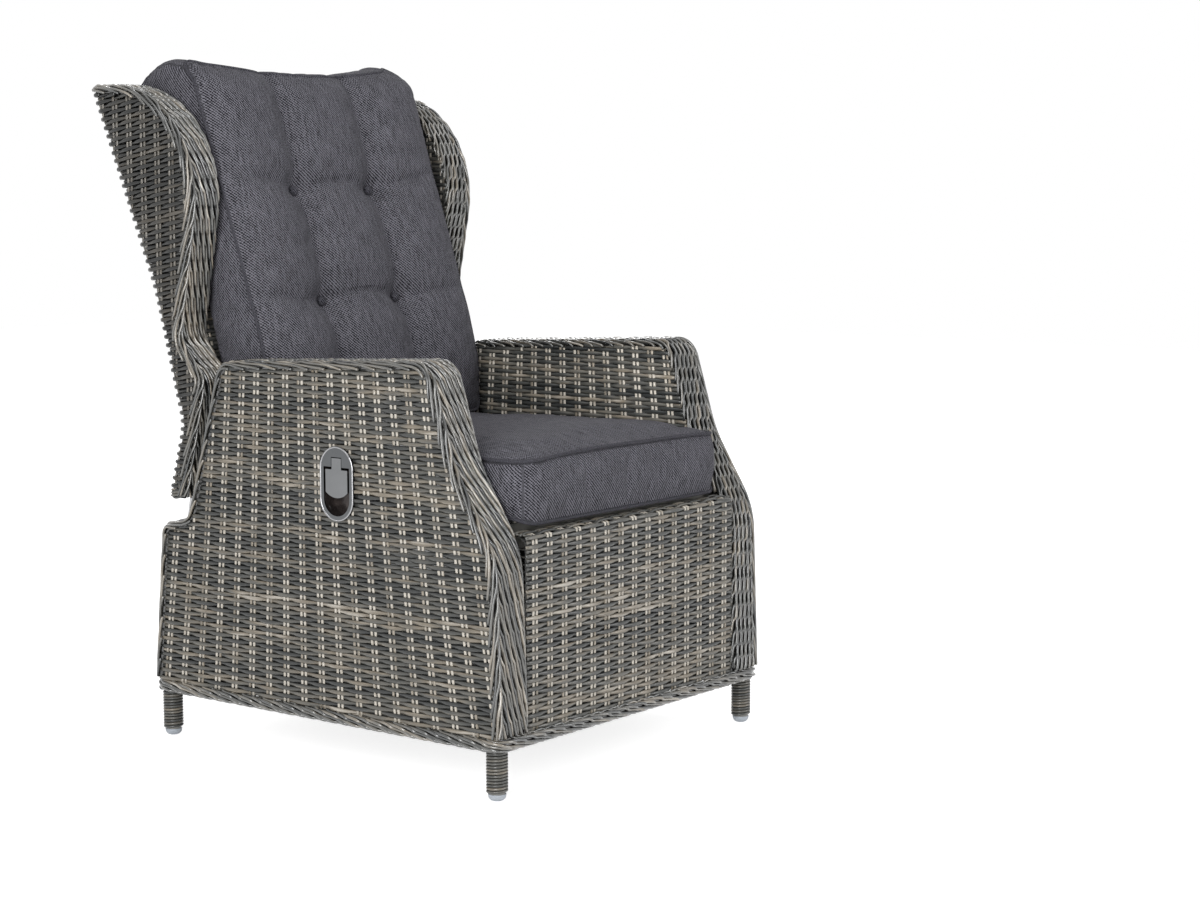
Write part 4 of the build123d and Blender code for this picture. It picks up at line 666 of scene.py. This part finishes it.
def plait(path, out, across, half_wide, half_deep, lay, count, seed, width, height, bundle=3, step=6.5,
          lean=(0.25, 0.7)):
    """Strands wound side by side round a flat core. At a run s, strand k is the share q = s / lay + k / count
    through its turn: it lies half_wide * asin(flatness cos 2 pi q) / asin flatness to the side and
    half_deep * tanh(fold sin 2 pi q) / tanh fold outward. Bundles draw together and dip once per bundle
    spacing. Only the outer part of each turn is made; a dark strip, painted shade, fills the core."""
    pick = np.random.default_rng(seed)
    run = run_along(path)
    total, lay = run[-1], lay * mm
    spacing = bundle * lay / count
    first_share, last_share = -0.09, 0.59
    flatness, fold = 0.98, 2.2
    lines = []
    samples = int((last_share - first_share) * lay / (step * mm)) + 2
    for k in range(count):
        group, place = divmod(k, bundle)
        for turn in range(-1, int(total / lay) + 2):
            share = np.linspace(first_share, last_share, samples)
            s = (share + turn - k / count) * lay
            kept = (s >= 0) & (s <= total)
            if kept.sum() < 4:
                continue
            s = s[kept]
            gather = np.clip(np.cos(2 * np.pi * s / spacing + 0.6 * group), 0, 1) ** 2
            middle = (bundle - 1) / 2
            q = s / lay + (group * bundle + middle + (place - middle) * (1 - 0.30 * gather)) / count
            sine, cosine = np.sin(2 * np.pi * q), np.cos(2 * np.pi * q)
            sideways = half_wide * mm * np.arcsin(flatness * cosine) / np.arcsin(flatness)
            raised = half_deep * mm * np.tanh(fold * sine) / np.tanh(fold)
            ripple = (place - middle) * lean[0]
            ripple = ripple + lean[1] * np.cos(2 * np.pi * s / spacing + 0.6 * group + 0.8 * place)
            raised = raised + ripple * mm * np.clip(sine, 0, 1)
            level, facing, sidewards = (read_at(values, run, s) for values in (path, out, across))
            outward = unit(facing * np.tanh(fold * sine)[:, None] + sidewards * (cosine ** 5)[:, None])
            centre = level + sidewards * sideways[:, None] + facing * raised[:, None]
            tone = pick.choice([0.12, 0.3, 0.5, 0.68, 0.85], p=[0.14, 0.24, 0.3, 0.22, 0.1])
            lines.append(line_of(centre, outward, width, height, tone, start=pick.uniform(0, 5)))
    # the dark core strip (shade 0.2) under the strands is painted shade
    steps = np.linspace(0, total, int(total / (12 * mm)))
    level, facing, sidewards = (read_at(values, run, steps) for values in (path, out, across))
    lines.append(line_of(level + facing * (half_deep - 2.2) * mm, facing, 2 * half_wide * 0.96, 3.0, 0.1,
                         flat_strip, 0.2, across=sidewards))
    return lines


def edge_section(half, front, back, radius=4.0):
    """A band's section in mm, as (side, out): up the outer side, round a corner, over the face, round the
    other corner and down the inner side; then the way each point faces, and the run along it."""
    turn = np.linspace(0, np.pi / 2, 9)
    corner = np.stack([half - radius + radius * np.cos(turn), front - radius + radius * np.sin(turn)], -1)
    shape = even(np.concatenate([[(half, back)], corner, corner[::-1] * (-1, 1), [(-half, back)]]), 1.2)
    ahead = unit(np.gradient(shape, axis=0))
    return shape, np.stack([ahead[:, 1], -ahead[:, 0]], -1), run_along(shape)


def wound_edge(path, out, across, section, spine, seed, pitch=22.0, lean=0.28, back_lean=0.15, cell=12.2,
               width=4.3, height=3.5, step=5.0, closed=False, tones=(0.15, 0.28, 0.4, 0.5, 0.62)):
    """A plaited edge. From a spine near the band's outer side one lay of strands crosses the face and the
    other, with 0.62 as many strands, goes back over the outer side; a strand that is d from the spine has
    gone on along the edge by d / lean (back_lean for the second lay) + wander * sin(2 pi d / cell). Pairs
    draw together at every cell of d, which leaves a small hole beside them, and each strand rises and dips
    by lift * cos(2 pi d / cell), its neighbour the other way, as it goes over and under, and by dip at the
    spine. A dark core, painted shade between the strands, fills the inside."""
    pick = np.random.default_rng(seed)
    shape, facing, around = section
    run = run_along(path)
    total = run[-1]
    before, wander, lift, dip = 3.0, 5.0, 1.3, 2.8
    lines = []
    for lay, (target, slope, share) in enumerate(((around[-1], lean, 1.0), (0.0, back_lean, 0.62))):
        reach = abs(target - spine)
        count = max(1, round(total / mm / pitch * share))
        gap = total / mm / count
        for k in range(0 if closed else int(-reach / slope / gap) - 1, count + (0 if closed else 1)):
            d = np.linspace(-before, reach, int(reach / slope / step) + 4)
            gather = (0.5 + 0.5 * np.cos(2 * np.pi * d / cell)) ** 1.5
            place = k % 2 - 0.5
            s = (k * gap + lay * 0.5 * gap + d / slope + wander * np.sin(2 * np.pi * d / cell)
                 - place * 0.5 * gap * gather) * mm
            if closed:
                s = s % total
            kept = (s >= 0) & (s <= total)
            if kept.sum() < 4:
                continue
            d, s = d[kept], s[kept]
            p = np.clip(spine + d * np.sign(target - spine), 0, around[-1])
            rise = lift * np.cos(2 * np.pi * d / cell + 2 * np.pi * place + 1.2)
            rise = rise - dip * np.exp(-((d + before) / 4.5) ** 2)
            offset, face = read_at(shape, around, p), read_at(facing, around, p)
            level, outward, sideways = (read_at(values, run, s) for values in (path, out, across))
            normal = unit(sideways * face[:, :1] + outward * face[:, 1:])
            centre = level + (sideways * offset[:, :1] + outward * offset[:, 1:]
                              + normal * rise[:, None]) * mm
            lines.append(line_of(centre, normal, width, height, pick.choice(tones), cord_round,
                                 start=pick.uniform(0, 5)))
    # the dark core (shade 0.15) is painted shade seen between the strands
    inner = np.c_[shape[:, 0] - 2.4 * facing[:, 0], shape[:, 1] - 2.4 * facing[:, 1]]
    half = inner[:, 0].max()
    steps = np.linspace(0, total, int(total / (10 * mm)))
    level, outward, sideways = (read_at(values, run, steps) for values in (path, out, across))
    lines.append(line_of(level, outward, 2 * half, 1.0, 0.1, (inner / (half, 1.0))[::-4], 0.15,
                         across=sideways))
    return lines


def border_path(corners, inset, x):
    """A band's middle line in space, its outward and sideways directions, for a side at the given X."""
    line = even(rounded_line(corners), 6 * mm)
    ahead = unit(np.gradient(line, axis=0))
    inward = np.stack([-ahead[:, 1], ahead[:, 0]], -1)
    middle = line + inset * mm * inward
    path = np.c_[np.full(len(line), x * mm), middle]
    out = np.c_[np.zeros(len(line)), -inward]
    across = np.tile([float(np.sign(x)), 0.0, 0.0], (len(line), 1))
    return path, out, across


for side in (-1, 1):
    path, out, across = border_path(arm_corners, 6.0, side * 311.5)
    strands(side_name[side] + "_arm_plait",
            wound_edge(path, out, across, edge_section(36.0, 3.2, -6.0), 19.0, 71 + side),
            "base", [side_name[side] + "_arm_border"], finish=plait_resin)
    path, out, across = border_path(wing_corners, 4.0, side * 315)
    start = int(np.argmax(path[:, 1]))
    strands(side_name[side] + "_wing_plait",
            wound_edge(path[start:], out[start:], across[start:], edge_section(30.6, 1.4, -9.0), 19.0,
                       81 + side),
            "backrest", [side_name[side] + "_wing_border"], finish=plait_resin)

# base border: a closed rounded rectangle
corner_turn = np.linspace(0, np.pi / 2, 9)
ring = []
for (cx, cy), quarter in (((325, -418), -1), ((325, 285), 0), ((-325, 285), 1), ((-325, -418), 2)):
    turn = quarter * np.pi / 2 + corner_turn
    ring.append(np.stack([cx + 18 * np.cos(turn), cy + 18 * np.sin(turn)], -1))
ring = even(np.concatenate(ring + [ring[0][:1]]) * mm, 6 * mm)
ahead = unit(np.gradient(ring, axis=0))
path = np.c_[ring, np.full(len(ring), 87 * mm)]
out = np.c_[ahead[:, 1], -ahead[:, 0], np.zeros(len(ring))]
across = np.tile([0.0, 0.0, 1.0], (len(ring), 1))
pairs_round = 120
strands("base_border_plait",
        wound_edge(path, out, across, edge_section(8.4, 4.6, -6.5, 5.0), 2.0, 91,
                   pitch=run_along(ring)[-1] / mm / pairs_round, lean=0.20, cell=9.0, width=5.2, height=2.5,
                   closed=True, tones=(0.15, 0.28, 0.4, 0.5, 0.6)),
        "base", ["base_border"], finish=plait_resin)


def straight_band(start, end, out, across):
    """A straight band's path, start * (1 - t) + end * t, and its two directions."""
    share = np.linspace(0, 1, 60)[:, None]
    path = (np.array(start) * (1 - share) + np.array(end) * share) * mm
    return path, *(np.tile(unit(np.array(way, float)), (len(path), 1)) for way in (out, across))


strands("shelf_plait",
        plait(*straight_band((-272, 278.5, 353), (272, 278.5, 353), (0, 1, 0.15), (0, 0, 1)),
              5.0, 2.4, 180, 5, 93, width=5.4, height=2.6),
        "base", ["shelf_border"])
strands("back_top_plait",
        plait(*straight_band((-281, 424, 1073), (281, 424, 1073), (0, 0, 1), (0, 1, 0)),
              15.5, 3.4, 240, 12, 94, width=5.6, height=2.8),
        "backrest", ["back_top_edge"])

# the back's lower edge: twisted rows round the wings and the back
edge_y = behind(409 * mm, rear_depth)[0] / mm
half_rim = np.array([(334, edge_y), (339, edge_y - 2), (wing_outer_x, edge_y - 7), (wing_outer_x, 232)])
rim = even(np.concatenate([half_rim[::-1] * (-1, 1), half_rim]) * mm, 5 * mm)
ahead = unit(np.gradient(rim, axis=0))
rim_out = np.c_[-ahead[:, 1], ahead[:, 0], np.zeros(len(rim))]
strands("back_bottom_rows",
        plait(np.c_[rim, np.full(len(rim), 411 * mm)], rim_out, np.tile([0.0, 0.0, 1.0], (len(rim), 1)),
              6.5, 2.2, 150, 6, 95, width=5.2, height=2.5),
        "backrest", ["back_bottom_edge"])


# ---------------------------------------------------------------- legs

def leg_winding(x, y):
    """A strand wound round a leg: (x + r cos t, y + r sin t, z) with z rising 4.8 mm a turn."""
    turns, rise, radius, foot = 13.4, 4.8, 14.6, 13.2
    t = np.linspace(0, 2 * np.pi * turns, int(turns * 30))
    spoke = np.stack([np.cos(t), np.sin(t), 0 * t], -1)
    climb = np.stack([0 * t, 0 * t, t / (2 * np.pi) * rise], -1)
    centre = (np.array([x, y, foot]) + spoke * radius + climb) * mm
    return line_of(centre, spoke, 4.6, 2.3, 0.4, half_round, start=x * 0.1)


leg_places = [(x, y) for x in (-leg_x, leg_x) for y in leg_ys]
strands("leg_windings_wound", [leg_winding(x, y) for x, y in leg_places], "base", ["leg_windings"])


def turned(name, profile, places, body, nodes, finish, around=32):
    """A profile (radius, height) turned round upright axes: (x + r cos t, y + r sin t, z)."""
    profile = np.asarray(profile, float) * mm
    n = len(profile)
    t = np.arange(around) * 2 * np.pi / around
    rings = np.stack([profile[:, :1] * np.cos(t), profile[:, :1] * np.sin(t),
                      np.repeat(profile[:, 1:], around, 1)], -1)
    points, quads, caps = [], [], []
    for k, (x, y) in enumerate(places):
        points.append((rings + np.array([x, y, 0]) * mm).reshape(-1, 3))
        sides, closing = ring_faces(k * n * around, n, around)
        quads.append(sides)
        caps += closing
    return make_piece(name, np.concatenate(points), [np.concatenate(quads), np.array(caps)], body, nodes,
                      finish)


dome = [(1.5, 0), (6, 0.35), (9.5, 1.5), (12, 3.6), (13.5, 6.6), (14, 10), (14, 11), (13.4, 11.2)]
turned("glide_domes", dome, leg_places, "base", ["glides"], glide_grey)


# ---------------------------------------------------------------- handle trim

def flat_loop(corners, x):
    """A closed outline of (Y, Z, radius) corners on the arm's outer side, read in even steps."""
    line = even(rounded_line(corners, 16), 1.0 * mm)
    return np.c_[np.full(len(line), x * mm), line]


def bead(name, corners, x, radius, body, finish):
    """A polished bead round an outline."""
    loop = flat_loop(corners, x)
    points, faces, strand, chart = carry([line_of(loop, np.tile([-1.0, 0.0, 0.0], (len(loop), 1)), 2 * radius,
                                                  radius, 0.5, full_round)])
    return make_piece(name, points, faces, body, [], finish, strand, chart)


rim_half_wide, rim_half_high, rim_corner = 33.6, 57, 33.4
oval = [(handle_y + across * rim_half_wide, handle_z + up * rim_half_high, rim_corner if across else 0)
        for across, up in ((0, -1), (1, -1), (1, 1), (-1, 1), (-1, -1), (0, -1))]
bead("handle_rim", oval, -348.6, 1.5, "base", rim_chrome)


# ---------------------------------------------------------------- cushions

def boxed(outline, front, rear, bulge, edge_round, rings=30, layers=12):
    """A closed cushion over an outline (p, q). The front face is the outline drawn in towards its middle by
    a share t, at depth front(p, q) + edge_round * t ** 9; the border is the outline pushed out by
    bulge * sin(pi t) ** 0.7; the rear face closes it."""
    middle = (outline.max(0) + outline.min(0)) / 2
    ahead = unit(np.roll(outline, -1, 0) - np.roll(outline, 1, 0))
    outward = np.stack([ahead[:, 1], -ahead[:, 0]], -1)
    shares = 1 - (1 - np.linspace(0.03, 1, rings)) ** 1.2
    flat = [middle + (outline - middle) * t for t in shares]
    rows = [np.c_[f, front(f[:, 0], f[:, 1]) + edge_round * t ** 9] for f, t in zip(flat, shares)]
    lift = np.linspace(0, 1, layers + 1)[1:-1]
    a, b = rows[-1][:, 2], rear(outline[:, 0], outline[:, 1])
    for t in lift:
        rows.append(np.c_[outline + outward * bulge * np.sin(np.pi * t) ** 0.7, a * (1 - t) + b * t])
    rows += [np.c_[f, rear(f[:, 0], f[:, 1])] for f in flat[::-1]]
    n = len(outline)
    points = np.concatenate(rows)
    here = np.arange(len(rows) - 1)[:, None] * n
    k = np.arange(n)
    quads = np.stack([here + k, here + n + k, here + n + (k + 1) % n, here + (k + 1) % n], -1).reshape(-1, 4)
    caps = np.array([k, (len(rows) - 1) * n + k[::-1]])
    return points, [quads, caps], np.c_[outline, a], outward


def read_points(mesh):
    """A mesh's points as one array."""
    points = np.empty(len(mesh.vertices) * 3, np.float32)
    mesh.vertices.foreach_get("co", points)
    return points.reshape(-1, 3).astype(float)


def lay_cloth(mesh, points, normals, favour=(1.0, 1.0, 1.15)):
    """Gives each point its place on the cloth, by the axis that its face looks along most, each axis
    weighed by favour: on a side it is (y, z), on the front or rear (corner_run -+ x, z) and on top (x, y).
    On a seat's right side the run goes on round the front corner to the front."""
    corner_run = (seat_half - seat_front) * mm
    most = np.argmax(np.abs(normals) * favour, axis=1)
    x, y, z = points.T
    ways = [np.stack([y * np.sign(normals[:, 0]), z, x * 0], -1),
            np.stack([corner_run - x * np.sign(normals[:, 1]), z, y * 0], -1),
            np.stack([x, y, z * 0], -1)]
    chart = np.choose(most[:, None], ways)
    layer = mesh.attributes.new("cloth_map", "FLOAT_VECTOR", "POINT")
    layer.data.foreach_set("vector", chart.astype(np.float32).ravel())


def read_normals(mesh):
    """The way each point of a mesh faces."""
    normals = np.empty(len(mesh.vertices) * 3, np.float32)
    mesh.vertices.foreach_get("normal", normals)
    return normals.reshape(-1, 3)


def swell(piece, sewn, most, favour=(1.0, 1.0, 1.15), pressure=4.0, voxel=0.0055, steps=20):
    """Stuffs a cover: its skin is remeshed evenly, given its cloth map, with favour for the axes, and blown
    up as cloth with the sewn places held; each point then goes min(1, most / distance) of its way."""
    work = bpy.data.objects.new("stuffing", piece.data.copy())
    bpy.context.scene.collection.objects.link(work)
    even_skin = work.modifiers.new("even_skin", "REMESH")
    even_skin.mode = "VOXEL"
    even_skin.voxel_size = voxel
    skin = bpy.data.meshes.new_from_object(work.evaluated_get(bpy.context.evaluated_depsgraph_get()))
    work.modifiers.clear()
    work.data = skin
    start = read_points(skin)
    lay_cloth(skin, start, read_normals(skin), favour)
    moved = start
    group = work.vertex_groups.new(name="sewn")
    held = np.round(np.clip(sewn(start), 0, 1) * 10) / 10
    for level in np.unique(held):
        group.add(np.flatnonzero(held == level).tolist(), float(level), "REPLACE")
    cloth = work.modifiers.new("cloth", "CLOTH").settings
    cloth.use_pressure = True
    cloth.uniform_pressure_force = pressure
    cloth.vertex_group_mass = "sewn"
    cloth.effector_weights.gravity = 0
    cloth.quality = 4
    cloth.shrink_min = -0.02
    for frame_number in range(1, steps + 1):
        bpy.context.scene.frame_set(frame_number)
    blown = bpy.data.meshes.new_from_object(work.evaluated_get(bpy.context.evaluated_depsgraph_get()))
    bpy.context.scene.frame_set(1)
    go = read_points(blown) - start
    far = np.linalg.norm(go, axis=1, keepdims=True)
    moved = start + go * np.minimum(1, most / np.maximum(far, 1e-9))
    skin.vertices.foreach_set("co", moved.astype(np.float32).ravel())
    bpy.data.objects.remove(work)
    skin.name = piece.name
    skin.materials.clear()
    skin.materials.append(piece.data.materials[0])
    skin.polygons.foreach_set("use_smooth", np.ones(len(skin.polygons), bool))
    piece.data = skin
    finer = piece.modifiers.new("finer", "SUBSURF")
    finer.levels = finer.render_levels = 1
    return moved


def piping(seam, outward_way, radius=3.2):
    """A closed cord of a given radius along a seam."""
    loop = np.concatenate([seam, seam[:1]]) * mm
    facing = np.concatenate([outward_way, outward_way[:1]])
    return line_of(loop, facing, 2 * radius, radius, 0.5, full_round)


def sew_on(name, cords, body):
    """Piping as one soft piece on its cushion."""
    points, faces, strand, chart = carry(cords)
    sewn = make_piece(name, points, faces, body, [], piping_fabric_painted_shade, strand, chart)
    lay_cloth(sewn.data, points, read_normals(sewn.data))


seat_corners = [(0, seat_front, 0), (seat_half, seat_front, 42), (seat_half, seat_rear, 30),
                (-seat_half, seat_rear, 30), (-seat_half, seat_front, 42), (0, seat_front, 0)]
seat_outline = even(rounded_line(seat_corners) / mm, 8.0)[:-1]


def seat_top(p, q):
    """Z 499 at the rear edge, rising towards the front by 8 mm at the sides and 15 mm in the middle, with a
    crown of 5 * (1 - |x| ** 3) * (1 - |y| ** 3), x and y as shares of the half sizes, and waves of 1.5 mm."""
    crown = 5 * (1 - np.abs(p / 268) ** 3) * (1 - np.abs((q + 118) / 300) ** 3)
    bow = (8 + 7 * (1 - (p / seat_half) ** 2)) * np.clip(-q / 300, 0, 1) ** 0.8
    return 499 + crown + bow + 1.5 * np.sin(p / 47 + 0.6) * np.sin(q / 61)


def seat_foot(p, q):
    """Flat on the platform, sagging 9 mm over its front edge."""
    return 413.4 + 0 * p - 9 * np.clip((-392 - q) / 22, 0, 1)


points, faces, seam, outward = boxed(seat_outline, seat_top, seat_foot, 5.0, -4.0)
seat = make_piece("seat_cushion_cover", points * mm, faces, "base", ["seat_cushion"],
                  seat_fabric)


def seat_sewn(place):
    """The underside and both edge seams are held, the rest is free."""
    p, q, z = (place / mm).T
    inside = np.minimum.reduce([seat_half - np.abs(p), seat_rear - q, q - seat_front])
    low = np.clip((seat_foot(p, q) + 4.6 - z) / 3, 0, 1)
    top = np.exp(-((z - seat_top(p, q) + 3) / 6) ** 2) * np.exp(-(inside / 9) ** 2)
    return np.maximum(low, top)


swell(seat, seat_sewn, 14 * mm)
top_seam = seam + np.c_[outward * -0.8, 0 * outward[:, 0] - 0.2]
foot_seam = np.c_[seat_outline + outward * 0.6, seat_foot(*seat_outline.T) + 3.4]
sew_on("seat_cushion_piping",
       [piping(top_seam, unit(np.c_[outward, np.full(len(outward), 0.6)])),
        piping(foot_seam, unit(np.c_[outward, np.full(len(outward), -0.3)]))], "base")

front_corners = [(104, 509, 0), (104, 600, 120), (127, 690, 400), (261, 1096, 0)]
front_line = even(rounded_line(front_corners), 4 * mm) / mm
tufts = [(p, q) for q in tuft_zs for p in (-channel_x, channel_x)]


def crease_height(p, row):
    """A crease arches up by 13 mm * cos between the tufts and climbs again towards the sides, by 12 mm in
    the lower row and 32 mm in the upper."""
    wide = np.abs(p)
    between = 13 * np.cos(np.pi * p / (2 * channel_x)) * (wide < channel_x)
    beyond = (12 + 20 * row) * np.clip((wide - channel_x) / (back_half - channel_x), 0, 1) ** 0.8
    return tuft_zs[row] + between + beyond


def fullness(p, q):
    """How full the front is at a place, 0 to 1. Across, each of three parts goes with (1 - |a| ** 3) ** .6;
    upward, each goes with (1 - |b| ** 2.6) ** .6 between its creases, which stay 0.22 full in the middle
    part and up to 0.72 at the sides. A tuft takes 0.95 of it away, fading over 26 mm."""
    outer_middle, outer_half = 179, 87
    wide = np.abs(p)
    a = np.where(wide < channel_x, wide / channel_x, np.abs(wide - outer_middle) / outer_half)
    low, high = crease_height(p, 0), crease_height(p, 1)
    over = np.clip((q - high) / 190, 0, 0.75) * 2 - 1
    amid = (q - low) / (high - low) * 2 - 1
    under = 1 - np.clip((low - q) / 170, 0, 0.6) * 2
    b = np.where(q > high, over, np.where(q > low, amid, under))
    across = (1 - np.clip(np.abs(a), 0, 1) ** 3) ** 0.6
    upward = (1 - np.clip(np.abs(b), 0, 1) ** 2.6) ** 0.6
    least = 0.22 + 0.5 * np.clip((wide - channel_x) / 150, 0, 1)
    full = across * (least + (1 - least) * upward)
    for x, z in tufts:
        full = full * (1 - 0.95 * np.exp(-((p - x) ** 2 + (q - z) ** 2) / 26 ** 2))
    return full


def cushion_front(p, q):
    """The leaning front: seams lie 16 mm inside the front line, tufts 12 mm deeper, and each full part
    stands 31 mm prouder. The last 44 mm under the top edge roll back, by 22 mm in the middle and 56 mm at
    the ears."""
    y = np.interp(q, front_line[:, 1], front_line[:, 0]) + 0.33 * np.clip(q - 1096, 0, None)
    aside_share = np.abs(p) / back_half
    top = 1102 + 22 * aside_share ** 3
    pits = sum(np.exp(-((p - x) ** 2 + (q - z) ** 2) / 24 ** 2) for x, z in tufts)
    roll = (22 + 34 * aside_share ** 5) * np.clip((q - top) / 44 + 1, 0, 1.2) ** 2
    return y + roll + 16 + 12 * pits - 31 * fullness(p, q)


def cushion_rear(p, q):
    """The rear face lies on the back's front weave, 34 mm before the rear line, and leans on above it."""
    return behind(np.clip(q, 405, 1079) * mm, 34.0)[0] / mm + 0 * p + np.clip(q - 1079, 0, None) * 0.43


back_corners = [(0, 513, 0), (back_half, 513, 30), (266, 1138, 26), (222, 1118, 50), (100, 1104, 120),
                (0, 1101, 60), (-100, 1104, 120), (-222, 1115, 50), (-266, 1131, 26), (-back_half, 513, 30),
                (0, 513, 0)]
back_outline = even(rounded_line(back_corners) / mm, 8.0)[:-1]
points, faces, seam, outward = boxed(back_outline, cushion_front, cushion_rear, 4.0, 3.0, rings=64)
# the top edge falls away behind the seam: by up to 38 mm towards the rear face
face_y, rear_y = (depth_at(points[:, 0], points[:, 1]) for depth_at in (cushion_front, cushion_rear))
share = np.clip((points[:, 2] - face_y - 14) / (rear_y - face_y - 14), 0, 1)
points[:, 1] -= 38 * share ** 2 * np.clip((points[:, 1] - 960) / 150, 0, 1)
points = points[:, [0, 2, 1]]
faces = [f[:, ::-1] for f in faces]
back = make_piece("back_cushion_cover", points * mm, faces, "backrest", ["back_cushion"],
                  seat_fabric)


def distance_to(line, places):
    """Each place's least distance to the points of a line."""
    between = places[:, None].astype(np.float32) - line[None].astype(np.float32)
    return np.min(np.linalg.norm(between, axis=-1), axis=1)


back_seam = seam[:, [0, 2, 1]]


def back_sewn(place):
    """The rear, the channels, the tufts and the front edge seam are held."""
    p, y, q = (place / mm).T
    front = y < (cushion_front(p, q) + cushion_rear(p, q)) / 2
    rear = np.clip((y - cushion_rear(p, q) + 8) / 5, 0, 1)
    channel = np.maximum.reduce([np.exp(-((p - c) / 6) ** 2) for c in (-channel_x, channel_x)])
    tuft = np.maximum.reduce([np.exp(-((p - a) ** 2 + (q - b) ** 2) / 15 ** 2) for a, b in tufts])
    edge = np.exp(-(distance_to(back_seam, place / mm) / 8) ** 2)
    return np.maximum.reduce([rear, front * 0.97 * channel, front * tuft, edge])


stuffed = swell(back, back_sewn, 9 * mm, (0.7, 1.6, 0.7)) / mm
seam = seam + np.c_[outward * -1.2, 0 * outward[:, 0] + 0.2]
seam_out = unit(np.c_[outward[:, 0], np.full(len(outward), -0.6), outward[:, 1]])
sew_on("back_cushion_piping", [piping(seam[:, [0, 2, 1]], seam_out)], "backrest")

# buttons: a profile (radius, height) turned round the depth axis, set into the stuffed front at each tuft
profile = np.array([(9, -4), (9.2, -1), (8.2, 1.6), (5.5, 3.2), (1.0, 3.9)])
around = 20
t = np.arange(around) * 2 * np.pi / around
points, quads, caps = [], [], []
for k, (x, z) in enumerate(tufts):
    close = np.hypot(stuffed[:, 0] - x, stuffed[:, 2] - z) < 8
    close &= stuffed[:, 1] < cushion_front(x, z) + 20
    y = float(stuffed[close, 1].mean()) - 5.5
    rings = np.stack([x + profile[:, :1] * np.cos(t), y - np.repeat(profile[:, 1:], around, 1),
                      z + profile[:, :1] * np.sin(t)], -1)
    points.append(rings.reshape(-1, 3))
    sides, closing = ring_faces(k * len(profile) * around, len(profile), around)
    quads.append(sides)
    caps += closing
points = np.concatenate(points) * mm
buttons = make_piece("tuft_buttons", points, [np.concatenate(quads), np.array(caps)], "backrest",
                     ["cushion_buttons"], piping_fabric_painted_shade)
lay_cloth(buttons.data, points, read_normals(buttons.data))


# ---------------------------------------------------------------- floor, light and camera

def shown(tree):
    """1 for a ray that shows the surface straight, in gloss or through something clear, and 0 otherwise."""
    rays = node(tree, "ShaderNodeLightPath").outputs
    return math_node(tree, "MAXIMUM", rays["Is Camera Ray"],
                     math_node(tree, "MAXIMUM", rays["Is Glossy Ray"], rays["Is Transmission Ray"]))


floor_mesh = bpy.data.meshes.new("studio_floor")
floor_mesh.from_pydata([(-9, -9, 0), (9, -9, 0), (9, 9, 0), (-9, 9, 0)], [], [(0, 1, 2, 3)])
floor = bpy.data.objects.new("studio_floor", floor_mesh)
bpy.context.scene.collection.objects.link(floor)
pale, tree, shader = new_material("pale_floor", Base_Color=(0.80, 0.80, 0.80, 1), Roughness=0.9)
shader.inputs["Emission Color"].default_value = (1, 1, 1, 1)
tree.links.new(math_node(tree, "MULTIPLY", shown(tree), 0.79), shader.inputs["Emission Strength"])
floor_mesh.materials.append(pale)

world = bpy.data.worlds.new("studio")
bpy.context.scene.world = world
world.use_nodes = True
tree = world.node_tree
light_level = 0.26
background = tree.nodes["Background"]
background.inputs[0].default_value = (1, 1, 1, 1)
tree.links.new(eased(tree, shown(tree), 1 - light_level, light_level), background.inputs[1])


def looking(place, way):
    """The placing of what stands at a place and looks a way, with its top up."""
    return Matrix.Translation(place) @ way.to_track_quat("-Z", "Y").to_matrix().to_4x4()


def lamp(name, place, aim, wide, tall, power):
    """A soft upright panel lamp that looks at a point."""
    made = bpy.data.objects.new(name, bpy.data.lights.new(name, "AREA"))
    made.data.shape = "RECTANGLE"
    made.data.size, made.data.size_y = wide, tall
    made.data.energy = power
    made.matrix_world = looking(place, Vector(aim) - Vector(place))
    bpy.context.scene.collection.objects.link(made)


lamp("key", (-3.5, -1.6, 1.3), (0, 0, 0.7), 1.8, 2.5, 122)
lamp("fill", (1.6, -4.0, 1.5), (0, 0, 0.7), 1.4, 2.6, 62)
lamp("top", (-0.6, -0.8, 4.2), (0, 0, 0.5), 2.0, 2.0, 45)
lamp("rear", (2.9, 3.1, 1.9), (0, 0, 0.6), 2.0, 2.4, 65)

camera = bpy.data.objects.new("camera", bpy.data.cameras.new("camera"))
camera.data.lens = 71.07
camera.data.sensor_width = 36
yaw, pitch = np.radians(52.7), np.radians(6.6)
look = Vector((np.sin(yaw) * np.cos(pitch), np.cos(yaw) * np.cos(pitch), -np.sin(pitch)))
camera.matrix_world = looking((-2.990, -2.640, 0.930), look)
bpy.context.scene.collection.objects.link(camera)
bpy.context.scene.camera = camera
bpy.context.scene.view_settings.view_transform = "Standard"
